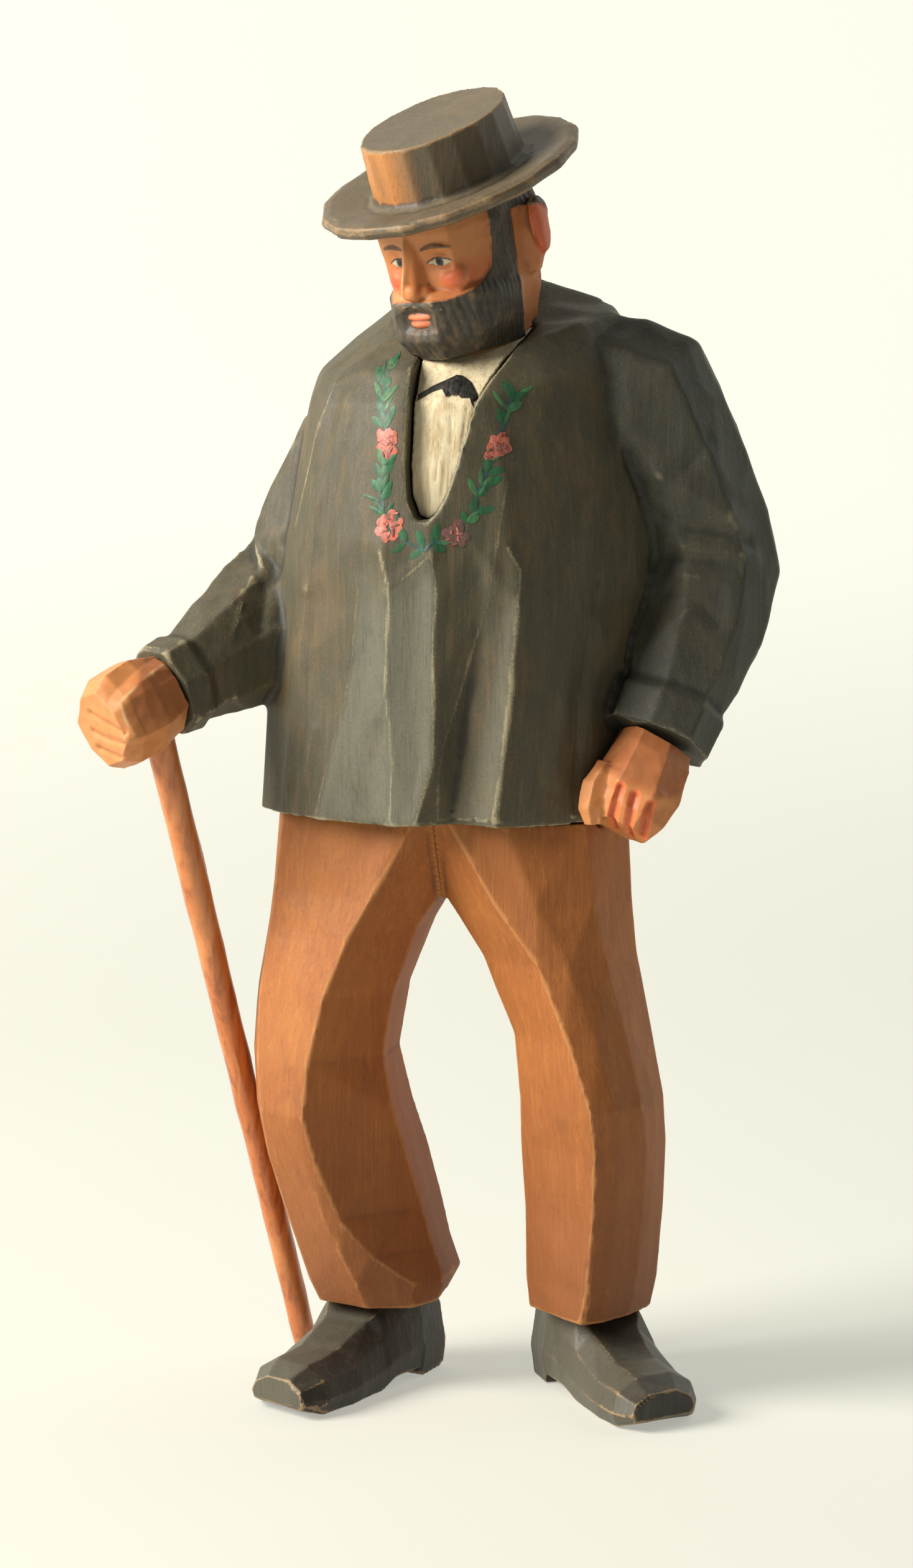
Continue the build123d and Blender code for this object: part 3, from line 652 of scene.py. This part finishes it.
def make_shoes():
    material = coated_wood("shoe_paint", (48, 46, 40), (84, 74, 56), (24, 23, 20),
                           worn=(160, 132, 96), grain_show=0.5, edge_wear=0.75, patches=0.4,
                           roughness=(0.4, 0.6), tint=(88, 84, 70))
    for side, seed in (("left", 31), ("right", 32)):
        skin = carve("shoe_" + side, 0.35, 1, spacing=8.0, depth=0.3, seed=seed)
        # The shoes' sides that face the key lamp, and their tops, take the paler tint: a painted
        # highlight.
        facing = skin.normals(1)
        key_side_highlight = np.clip(0.2 - 1.6 * facing[:, 0] + 0.3 * facing[:, 2], 0, 1)
        finished(f"{side}_shoe", skin, material, "shoes", "shoe_" + side, tint=key_side_highlight)


def turned(centre, nod):
    """The place of something turned and leaning as the head is, and nodding by an angle of its own."""
    return (Matrix.Translation(centre) @ Matrix.Rotation(HEAD_TURN, 4, "Z")
            @ Matrix.Rotation(HEAD_LEAN, 4, "Y") @ Matrix.Rotation(nod, 4, "X"))


def make_hat():
    material = coated_wood("hat_paint", (96, 86, 68), (124, 102, 74), (52, 46, 37),
                           worn=(168, 132, 90), grain_show=0.5, edge_wear=0.5, patches=0.45,
                           tint=(188, 124, 64))
    skin = carve("hat", 0.35, 1, spacing=6.5, depth=0.22, seed=41)
    local = local_points(turned(box_centre("hat") + np.array([0.47, 0.53, -4.3]), HAT_NOD), skin.co)
    around = np.degrees(np.arctan2(local[:, 0], -local[:, 1]))
    facing = np.clip((24 - around) / 22, 0, 1) * np.clip((around + 95) / 12, 0, 1)
    side = 1 - np.abs(skin.normals() @ np.array(turned((0, 0, 0), HAT_NOD))[:3, 2])
    tint = facing * np.clip((side - 0.45) / 0.2, 0, 1) * (np.hypot(*local[:, :2].T) < 16.5)
    finished("flat_crowned_hat", skin, material, "hat", "hat", tint=tint)


# Fine cracks in the shirt's paint, as (x, z) lines.
CRACKS = [[(4.2, 170.6), (4.7, 165), (4.1, 158.2)], [(6.2, 168.4), (6.5, 164.4)],
          [(8.7, 170), (8.1, 163)], [(2.7, 160.4), (3.2, 154.4)], [(5.6, 160), (5.2, 155.8)]]


def make_shirt():
    material = coated_wood("shirt_paint", (226, 212, 176), (196, 168, 120), (132, 98, 60),
                           worn=(236, 226, 196), grain_show=0.85, edge_wear=0.3, patches=0.3,
                           roughness=(0.5, 0.7), speckle=0.15)
    skin = carve("shirt_front", 0.35, 1, spacing=2.6, depth=0.25, stretch=(1, 1, 6), seed=51)
    tree = mesh_tree(skin.mesh)
    for line in CRACKS:
        skin.crease(front_path(tree, line, 0.5), 0.5, -0.15, mark=0.8)
    finished("shirt_breast", skin, material, "shirt", "shirt_front")
    return mesh_tree(skin.mesh)


def make_stick():
    skin = carve("walking_stick", 0.3, 1, spacing=3.0, depth=0.2, stretch=(1, 1, 7), seed=61)
    finished("whittled_stick", skin, varnished_stick(), "stick", "walking_stick")


# ---- brush work on the clothes -----------------------------------------------
class BrushWork:
    """Thick strokes of one paint, laid over a surface that is seen from the front."""

    def __init__(self, tree):
        self.tree = tree
        self.bm = bmesh.new()

    def sheet(self, rows, lift, dome):
        """A patch through rows of (x, z) points across the stroke, domed in its middle."""
        grid = []
        for r, row in enumerate(rows):
            along = 2 * r / (len(rows) - 1) - 1
            line = []
            for c, (x, z) in enumerate(row):
                across = 2 * c / (len(row) - 1) - 1
                hit, normal = from_front(self.tree, x, z)
                if hit is None:
                    return
                height = lift + dome * (1 - along ** 2) * (1 - across ** 2)
                line.append(self.bm.verts.new((hit + normal * height) * MM))
            grid.append(line)
        for low, high in zip(grid, grid[1:]):
            for i in range(len(low) - 1):
                self.bm.faces.new((low[i], low[i + 1], high[i + 1], high[i]))

    def dab(self, x, z, angle, length, width, blunt=0.6, lift=0.03, dome=0.16):
        """A leaf or petal shape whose long axis points along angle, in degrees from +X."""
        c, s = cos(radians(angle)), sin(radians(angle))
        rows = []
        for t in np.linspace(-0.98, 0.98, 7):
            half = 0.5 * width * (1 - t * t) ** blunt
            rows.append([(x + c * t * length / 2 - s * w * half, z + s * t * length / 2 + c * w * half)
                         for w in (-1, -0.4, 0.4, 1)])
        self.sheet(rows, lift, dome)

    def line(self, points, width, lift=0.03, dome=0.08):
        for (x0, z0), (x1, z1) in zip(points, points[1:]):
            angle = np.degrees(np.arctan2(z1 - z0, x1 - x0))
            self.dab((x0 + x1) / 2, (z0 + z1) / 2, angle, np.hypot(x1 - x0, z1 - z0) * 1.25, width,
                     0.3, lift, dome)

    def finish(self, name, material, slot):
        piece(name, as_mesh(self.bm, name), material)


# The embroidered wreath round the slit, as (x, z) points from the right shoulder to the left one.
WREATH = [(-5.0, 176.6), (-5.4, 172), (-4.6, 168), (-3.9, 164.4), (-4.4, 160), (-4.8, 155.4),
          (-3.2, 151), (-0.4, 148.2), (3.2, 147.4), (8.0, 149.2), (10.8, 153.4), (12.2, 157.6),
          (13.6, 161.2), (14.4, 164.2), (15.2, 168.2), (16.8, 172.6)]
# Blossoms as x, z and size.
FLOWERS = [(-3.9, 164.4, 1.1), (-2.9, 150.8, 1.15), (8.2, 149.6, 1.0), (14.4, 164.0, 1.05)]
FADED_FLOWER = FLOWERS[2]
LEAF_TUFTS = 30
# What the wreath's brushes lay down, with the name of each paint, its colour and its shade.
WREATH_PAINTS = [
    ("leaves", "leaf_green", (38, 96, 58), (30, 68, 48)),
    ("pale_leaves", "leaf_light", (70, 118, 72), (44, 88, 62)),
    ("stems", "stem_blue", (46, 84, 88), (38, 70, 60)),
    ("petals", "petal_rose", (198, 112, 92), (154, 72, 60)),
    ("faded_petals", "petal_faded", (116, 80, 74), (84, 70, 60)),
    ("hearts", "heart_red", (128, 44, 40), (206, 140, 122)),
]


def along_wreath(share):
    """The point at a share of the wreath's length, and its direction in degrees."""
    points = np.array(WREATH)
    lengths = np.concatenate([[0], np.cumsum(np.hypot(*np.diff(points, axis=0).T))])
    at = share * lengths[-1]
    k = min(np.searchsorted(lengths, at, side="right"), len(points) - 1)
    x, z = (np.interp(at, lengths, points[:, axis]) for axis in (0, 1))
    step = points[k] - points[k - 1]
    return x, z, np.degrees(np.arctan2(step[1], step[0]))


def lay_tuft(brushes, rng, share):
    """Three leaves that spring from the stem at a share of its length, clear of the blossoms."""
    x, z, angle = along_wreath(share)
    if min(np.hypot(x - fx, z - fz) for fx, fz, _ in FLOWERS) < 1.8:
        return
    rising = angle if sin(radians(angle)) > 0 else angle + 180
    for side in (-1, 1, rng.choice([-1, 1])):
        lean = rising + side * rng.uniform(8, 60)
        length = rng.uniform(1.8, 4.2)
        reach = 0.4 * length + rng.uniform(0.0, 0.7)
        brush = brushes["pale_leaves" if rng.random() < 0.35 else "leaves"]
        brush.dab(x + reach * cos(radians(lean)), z + reach * sin(radians(lean)), lean,
                  length, rng.uniform(0.6, 1.5), rng.uniform(0.4, 0.9),
                  lift=rng.uniform(0.02, 0.08), dome=0.05)


def lay_blossom(brushes, rng, x, z, size):
    """A ring of ten petals, and seven short strokes over them."""
    petals = brushes["faded_petals" if (x, z, size) == FADED_FLOWER else "petals"]
    for k in range(10):
        turn = 36 * k + rng.uniform(-22, 22)
        out = rng.uniform(0.6, 1.7) * size
        petals.dab(x + out * cos(radians(turn)), z + out * sin(radians(turn)),
                   turn + rng.uniform(-30, 30), rng.uniform(1.5, 2.2) * size,
                   rng.uniform(1.1, 1.7) * size, 0.45, 0.08, 0.06)
    for k in range(7):
        turn = 51 * k + rng.uniform(-20, 20)
        out = rng.uniform(0.2, 2.0) * size
        brushes["hearts"].dab(x + out * cos(radians(turn)), z + out * sin(radians(turn)),
                              turn + rng.uniform(-70, 70), rng.uniform(0.9, 1.5) * size,
                              rng.uniform(0.3, 0.5) * size, 0.5, 0.17, 0.05)


def embroider(tree):
    """Lays the wreath on the smock: a wandering stem, tufts of leaves and the blossoms."""
    rng = np.random.default_rng(90)
    brushes = {name: BrushWork(tree) for name, *_ in WREATH_PAINTS}
    wander = rng.normal(size=(41, 2)) * 0.22
    route = [along_wreath(t)[:2] for t in np.linspace(0, 1, len(wander))]
    brushes["stems"].line(np.array(route) + wander, 0.5, dome=0.03)
    for k in range(LEAF_TUFTS):
        lay_tuft(brushes, rng, (k + rng.uniform(0.3, 0.7)) / LEAF_TUFTS)
    for flower in FLOWERS:
        lay_blossom(brushes, rng, *flower)
    for name, paint, colour, shade in WREATH_PAINTS:
        brushes[name].finish("embroidered_" + name, oil_paint(paint, colour, shade), "smock")


# The bow's upper and lower edge as (x, z) points, from its right tail to its left one.
BOW_TOP = [(0.4, 171.9), (2.4, 173.2), (4.6, 174.2), (6.2, 175.0), (7.2, 174.9), (8.8, 173.9),
           (10.2, 172.0), (11.2, 170.2)]
BOW_FOOT = [(0.4, 171.0), (2.6, 172.4), (4.2, 172.9), (5.2, 171.6), (6.6, 172.4), (7.6, 171.5),
            (9.0, 171.6), (10.4, 168.9)]


def tie_bow(tree):
    """A narrow ribbon tied under the chin: two drooping tails and a knot."""
    bow = BrushWork(tree)
    rows = []
    last = len(BOW_TOP) - 1
    for t in np.linspace(0, last, 22):
        top, foot = (np.array([np.interp(t, range(last + 1), [p[a] for p in line]) for a in (0, 1)])
                     for line in (BOW_TOP, BOW_FOOT))
        rows.append([tuple(foot + (top - foot) * w) for w in np.linspace(0, 1, 6)])
    bow.sheet(rows, 0.15, 0.2)
    bow.dab(6.4, 173.3, 80, 3.0, 2.2, 0.4, 0.3, 0.3)
    bow.finish("bow_tie", oil_paint("bow_black", (30, 30, 30), (52, 50, 46)), "shirt")


# ---- hands -------------------------------------------------------------------
SKIN_BASE = linear(200, 130, 76)
FINGER_RED = linear(222, 84, 42)
DARKER_SKIN = linear(170, 100, 60)
KNUCKLE_HIGHLIGHT = linear(246, 214, 160)

# The cuts between the fingers and the lines of the knuckles, as (x, z) points.
LEFT_FINGERS = [
    [(34.9, 107.2), (33.7, 102.6), (32.9, 98.6)],
    [(37.4, 105.8), (36.5, 101.6), (35.7, 98.0)],
    [(40.2, 104.2), (39.3, 101.0), (38.5, 98.2)],
]
LEFT_KNUCKLES = [(31.0, 109.2), (33.6, 108.6), (37.4, 106.8), (41.6, 105.0)]
RIGHT_FINGERS = [
    [(-52.6, 119.0), (-50.2, 117.8), (-45.6, 116.4)],
    [(-52.6, 115.8), (-49.6, 114.8), (-45.8, 114.4)],
    [(-51.6, 112.8), (-49.2, 112.2), (-46.6, 111.6)],
]
RIGHT_KNUCKLES = [(-41.6, 126.4), (-43.6, 124.6), (-46.3, 121.4), (-45.4, 118.6), (-44.0, 116.2)]


def carved_hand(node, seed, knuckle_line, ridge, finger_lines, groove):
    """A carved hand, the paths of its knuckles and fingers, and its first coat of paint.

    ridge is the knuckles' width and height, groove the finger cuts' width, height and darkness.
    """
    skin = carve(node, 0.25, 2, spacing=4.6, depth=0.4, seed=seed)
    tree = mesh_tree(skin.mesh)
    knuckles = front_path(tree, knuckle_line, 0.5)
    fingers = [front_path(tree, line, 0.5) for line in finger_lines]
    skin.crease(knuckles, *ridge)
    for path in fingers:
        skin.crease(path, *groove)
    skin.smooth(1)
    return skin, knuckles, fingers, np.tile(SKIN_BASE, (len(skin.co), 1))


def near(skin, path, width):
    """How close each point lies to a path, 0 to 1."""
    return np.clip(1.3 - path_distance(skin.co, path) / width, 0, 1)


def make_left_hand(material):
    skin, _, fingers, paint = carved_hand(
        "hand_left", 71, LEFT_KNUCKLES, (1.8, 0.45), LEFT_FINGERS, (1.0, -0.75, 0.3))
    above = np.interp(skin.co[:, 0] - TABLE_ZERO[0], *zip(*LEFT_KNUCKLES))
    # The back of the hand above the knuckles is painted darker: painted shade on the side turned from
    # the light.
    paint = blend(paint, 0.75 * np.clip((skin.co[:, 2] - above) / 1.2, 0, 1), DARKER_SKIN)
    for path in fingers:
        paint = blend(paint, near(skin, path, 1.1), FINGER_RED)
    finish_hand("left", skin, paint, material)


def make_right_hand(material):
    skin, knuckles, fingers, paint = carved_hand(
        "hand_right", 72, RIGHT_KNUCKLES, (2.2, 0.7), RIGHT_FINGERS, (0.9, -0.5, 0.4))
    x = skin.co[:, 0] - TABLE_ZERO[0]
    back = np.clip((x + 45.5) / 1.5, 0, 1) * np.clip((skin.co[:, 2] - 117) / 2, 0, 1)
    # The fist's back, on the side towards the body, is painted darker: painted shade.
    paint = blend(paint, 0.7 * back, DARKER_SKIN)
    # A pale line along the knuckles' ridge: a painted highlight.
    paint = blend(paint, 0.8 * near(skin, knuckles, 0.35), KNUCKLE_HIGHLIGHT)
    # The finger cuts are painted darker: painted shade in the grooves.
    for path in fingers:
        paint = blend(paint, 0.45 * near(skin, path, 0.5), DARKER_SKIN)
    finish_hand("right", skin, paint, material)


def finish_hand(side, skin, paint, material):
    """Makes the paint a little uneven and adds the hand."""
    paint = paint * (1 + 0.07 * noise3(skin.co, 5.0, 73)[:, None])
    finished(side + "_hand", skin, material, "skin", "hand_" + side, paint=np.clip(paint, 0, 1))


# ---- head --------------------------------------------------------------------
HEAD = turned(box_centre("head") - np.array([0.43, 0.07, 0.11]), HEAD_NOD)
EYE_X, EYE_Z = 4.4, 2.2


def both(centre, radii, turn=(0, 0, 0), power=2.0):
    """The same lump on the figure's left and right."""
    x, y, z = centre
    return [(centre, radii, turn, power),
            ((-x, y, z), radii, (turn[0], -turn[1], -turn[2]), power)]


NOSE = [
    ((0, -12.4, 1.4), (1.45, 2.0, 4.6), (-18, 0, 0), 2.4),  # bridge
    ((0, -14.4, -2.0), (1.8, 1.6, 1.45), (0, 0, 0), 2.4),  # tip
    *both((1.7, -12.9, -2.4), (1.0, 1.3, 0.9)),  # wings
]
LIPS = [
    ((0, -13.2, -6.45), (2.7, 1.2, 0.72), (0, 0, 0), 2.0),
    ((0, -13.1, -7.5), (2.2, 1.4, 0.88), (0, 0, 0), 2.0),
]
EARS = both((11.7, 7.2, 3.6), (1.4, 2.9, 5.0), (8, 0, 22), 2.4)
FACE = [
    ((0, -10.9, 4.8), (7.4, 1.5, 1.2), (0, 0, 0), 2.4),  # brow
    *both((5.6, -9.3, -0.6), (2.9, 2.3, 2.3)),  # cheeks
]
MOUSTACHE = both((2.3, -13.2, -4.8), (3.2, 1.5, 1.1), (0, 16, 0), 2.3)
EYES = both((EYE_X, -9.5, EYE_Z), (2.5, 1.6, 1.5))
LIDS = both((EYE_X, -9.5, EYE_Z + 1.0), (2.8, 1.8, 0.75), (8, 0, 0), 2.0)


def nearest(points, lumps):
    """The least reach of any lump at each point."""
    return np.min([blob_reach(points, *lump) for lump in lumps], axis=0)


def blend(paint, share, colour):
    """Mixes a colour into the paint, by a share at each point."""
    share = np.clip(share, 0, 1)[:, None]
    return paint * (1 - share) + np.array(colour) * share


def hair_cover(x, y, z):
    """Where beard, sideburns and hair lie, 0 to 1, from the place on the head in mm."""
    angle = np.degrees(np.arctan2(np.abs(x), 1 - y))
    soft = 0.35

    def over(amount):
        return np.clip(amount / soft + 0.5, 0, 1)

    beard_top = np.interp(angle, [0, 14, 22, 34, 50, 62, 66, 69],
                          [-3.7, -3.7, -3.9, -3.5, -2.4, -0.6, 3, 14])
    beard_back = np.interp(z, [-14, -11, -7, -3, 4], [106, 102, 97, 95, 96])
    beard = over(beard_top - z) * over((beard_back - angle) * 0.19) * over(z + 14.9)
    hair_foot = np.interp(angle, [92, 112, 124, 138, 180], [7.4, 7.4, 5.6, 0.5, -3.0])
    crown = over(z - hair_foot) * over((angle - 67) * 0.19)
    return np.maximum(beard, crown), angle


def make_head(material):
    """The CAD head with its features joined on, then carved, combed and painted."""
    lumps = [blob_mesh(HEAD, *lump) for lump in NOSE + EARS + FACE]
    base = Skin(wrapped([node_mesh("head"), *lumps], 0.24))
    base.smooth(4)
    x, y, z = local_points(HEAD, base.co).T
    socket = np.exp(-((np.abs(x) - EYE_X) / 2.4) ** 2 - ((z - EYE_Z) / 1.7) ** 2)
    mouth = np.exp(-(x / 3.4) ** 4 - ((z + 7.0) / 1.7) ** 4)
    hair, _ = hair_cover(x, y, z)
    shape = 0.35 * hair - (1.2 * socket + 1.1 * mouth) * (y < -4)
    base.swell(shape)
    base.store()
    lumps = [blob_mesh(HEAD, *lump) for lump in MOUSTACHE + LIPS + EYES + LIDS]
    skin = Skin(wrapped([base.mesh, *lumps], 0.2))
    skin.smooth(2)
    local = local_points(HEAD, skin.co)
    x, y, z = local.T
    hair, angle = hair_cover(x, y, z)
    lips = np.clip((1.14 - nearest(local, LIPS)) / 0.08, 0, 1) * (y < -11)
    nose = np.clip((1.12 - nearest(local, NOSE)) / 0.08, 0, 1)
    hair *= (1 - lips) * (1 - nose * (z > -3.9))
    plain = np.clip((angle - 34) / 26, 0, 1)
    plain = np.maximum(plain, np.clip((-3.4 - z) / 1.5, 0, 1)) * np.clip(1 - nose - lips, 0, 1)
    skin.knife_cuts(4.8, 0.36, seed=82, where=plain)
    comb = np.where((np.abs(x) < 5.4) & (z > -5.9) & (angle < 30), 0.8 * z + 0.45 * np.abs(x),
                    0.19 * angle + 0.12 * z)
    strand = np.abs(np.sin(pi * (comb + 0.2 * noise3(local, 8, 81)) / 1.1))
    skin.swell(0.09 * hair * (strand - 0.5))
    skin.smooth(1)
    paint = paint_head(local, hair, angle, lips, nose, strand)
    finished("painted_head", skin, material, "skin", "head", paint=paint)


def paint_head(local, hair, angle, lips, nose, strand):
    x, y, z = local.T
    paint = np.tile(SKIN_BASE, (len(local), 1))
    cheek = np.exp(-((np.abs(x) - 6.6) / 2.4) ** 2 - ((z + 0.8) / 2.2) ** 2) * (y < -3)
    ears = np.clip((1.15 - nearest(local, EARS)) / 0.1, 0, 1)
    temple = np.clip((angle - 48) / 14, 0, 1) * (z > -3)
    paint = blend(paint, 0.35 * temple, DARKER_SKIN)
    paint = blend(paint, 0.75 * cheek + 0.65 * ears, linear(204, 78, 50))
    paint = blend(paint, 0.3 * nose, linear(214, 112, 66))
    paint = blend(paint, np.clip((-z - 3) / 4, 0, 1) * (angle > 80) * 0.45, DARKER_SKIN)
    # Hair paint is lighter on the strands' crests and darker in their grooves, a painted highlight and
    # shade, and its tone varies at random.
    strand_shade_and_tone = (0.85 + 0.2 * strand + 0.25 * noise3(local, 4, 84))[:, None]
    hair_colour = np.array(linear(66, 62, 52)) * strand_shade_and_tone
    paint = paint * (1 - hair[:, None]) + hair_colour * hair[:, None]
    paint = blend(paint, lips, linear(206, 108, 70))
    paint = blend(paint, 0.7 * lips * np.clip(1.5 - np.abs(z + 6.95) / 0.16, 0, 1), linear(96, 44, 28))
    return np.clip(paint_eyes(paint, x, y, z), 0, 1)


def paint_eyes(paint, x, y, z):
    """White, iris, pupil, lash line and brow of each eye, on the front of the face."""
    front = (y < -6).astype(float)
    u = np.abs(x) - EYE_X
    v = z - EYE_Z
    edge = 0.12

    def inside(value):
        return np.clip(-value / edge, 0, 1) * front

    upper = 0.85 - 0.15 * u ** 2
    lower = -0.7 + 0.12 * u ** 2
    eye = np.minimum(inside(v - upper), inside(lower - v)) * inside(np.abs(u) - 2.3)
    paint = blend(paint, eye, linear(206, 190, 160))
    paint = blend(paint, eye * inside(np.hypot(u, v - 0.1) - 0.95), linear(56, 66, 68))
    paint = blend(paint, eye * inside(np.hypot(u, v - 0.1) - 0.48), linear(18, 16, 14))
    lash = inside(np.abs(v - upper) - 0.2) * inside(np.abs(u) - 2.45)
    paint = blend(paint, lash, linear(44, 28, 18))
    under = inside(np.abs(v - lower) - 0.12) * inside(np.abs(u) - 2.0)
    paint = blend(paint, 0.6 * under, linear(112, 60, 36))
    brow_line = 3.0 - 0.07 * (u - 0.3) ** 2
    brow = inside(np.abs(v - brow_line) - 0.58 + 0.1 * np.abs(u)) * inside(np.abs(u - 0.1) - 2.9)
    return blend(paint, 0.9 * brow, linear(78, 50, 30))


# ---- stage, light and camera -------------------------------------------------
FIGURE_AXIS = Vector((3.4, 6.0, 104.0) + TABLE_ZERO) * MM  # the point the camera looks at
VIEW_TURN = 12  # degrees the camera stands round from the front
CAMERA_AZIMUTH, CAMERA_ELEVATION, CAMERA_DISTANCE = radians(VIEW_TURN), radians(9), 1.15
LAMP_DISTANCE = 1.0
LAMPS = [  # name, azimuth and elevation in degrees, size, power, colour
    ("key", VIEW_TURN - 72, 30, 0.62, 21.0, (1.0, 0.965, 0.9)),
    ("rim", VIEW_TURN + 118, 28, 0.9, 2.4, (0.96, 1.0, 0.96)),
]


def direction(azimuth, elevation):
    """The unit vector towards a light or camera; azimuth 0 is in front of the figure."""
    return Vector((sin(azimuth) * cos(elevation), -cos(azimuth) * cos(elevation), sin(elevation)))


FLOOR_GLOW, WALL_GLOW = 0.4, 0.16  # light through the paper, and more where it rises


def plain_paper():
    """White paper lit from behind, which is clear where its back is seen."""
    s = Shader("plain_paper", 0.9, 0.1)
    mottle = s.noise(0.004, (1, 1, 1), 2, 0.5)
    height = s.node("ShaderNodeSeparateXYZ")
    s.put(height.inputs[0], s.coords)
    risen = s.maths("MULTIPLY", s.step(height.outputs["Z"], 0.0, 0.1), WALL_GLOW)
    glow = s.mix(mottle, linear(253, 253, 241), linear(251, 250, 237))
    s.put(s.surface.inputs["Emission Color"], glow)
    s.put(s.surface.inputs["Emission Strength"], s.maths("ADD", risen, FLOOR_GLOW))
    sheet = s.node("ShaderNodeMixShader")
    s.put(sheet.inputs[0], s.node("ShaderNodeNewGeometry").outputs["Backfacing"])
    s.put(sheet.inputs[1], s.surface.outputs[0])
    s.put(sheet.inputs[2], s.node("ShaderNodeBsdfTransparent").outputs[0])
    s.put(s.tree.nodes["Material Output"].inputs["Surface"], sheet.outputs[0])
    return s.finish(s.mix(mottle, linear(172, 172, 164), linear(167, 166, 157)))


def stage():
    """One sheet of paper, curved up behind the figure."""
    bm = bmesh.new()
    width, front, depth, rise, bend = 1.2, -1.4, 0.7, 1.3, 0.4
    profile = [(front, 0.0), (depth - bend, 0.0)]
    profile += [(depth - bend + bend * sin(a), bend - bend * cos(a))
                for a in (radians(10 * k) for k in range(1, 10))]
    profile.append((depth, rise))
    rows = [[bm.verts.new((x, y, z)) for x in (-width, width)] for y, z in profile]
    for low, high in zip(rows, rows[1:]):
        bm.faces.new((low[0], low[1], high[1], high[0]))
    mesh = as_mesh(bm, "paper_sweep")
    mesh.transform(Matrix.Rotation(CAMERA_AZIMUTH, 4, "Z"))
    mesh.materials.append(plain_paper())
    smooth_shaded(mesh)
    placed("paper_sweep", mesh)


def lights():
    for name, azimuth, elevation, size, power, colour in LAMPS:
        lamp = placed(name, bpy.data.lights.new(name, "AREA"))
        lamp.data.shape = "DISK"
        lamp.data.size = size
        lamp.data.energy = power
        lamp.data.color = colour
        towards = direction(radians(azimuth), radians(elevation))
        lamp.location = FIGURE_AXIS + towards * LAMP_DISTANCE
        lamp.rotation_euler = towards.to_track_quat("Z", "Y").to_euler()
    world = bpy.data.worlds.new("studio")
    world.use_nodes = True
    background = world.node_tree.nodes["Background"].inputs
    background["Color"].default_value = (1.0, 0.99, 0.95, 1)
    background["Strength"].default_value = 0.15
    bpy.context.scene.world = world


def camera():
    data = bpy.data.cameras.new("camera")
    data.sensor_width = 36.0
    data.lens = 155.25
    data.clip_start = 0.05
    obj = placed("camera", data)
    back = direction(CAMERA_AZIMUTH, CAMERA_ELEVATION)
    obj.location = FIGURE_AXIS + back * CAMERA_DISTANCE
    obj.rotation_euler = back.to_track_quat("Z", "Y").to_euler()
    bpy.context.scene.camera = obj


def main():
    bpy.context.scene.view_settings.view_transform = "Standard"
    stage()
    lights()
    camera()
    paint = coated_wood("smock_paint", **SMOCK_LOOK)
    # The left sleeve takes the darker copy of the paint: painted shade.
    coat_tree = make_coat([paint, coated_wood("shaded_sleeve_paint", **SHADED_SLEEVE_LOOK), paint])
    embroider(coat_tree)
    tie_bow(make_shirt())
    make_trousers()
    make_shoes()
    make_hat()
    flesh = flesh_wood()
    make_head(flesh)
    make_left_hand(flesh)
    make_right_hand(flesh)
    make_stick()


main()
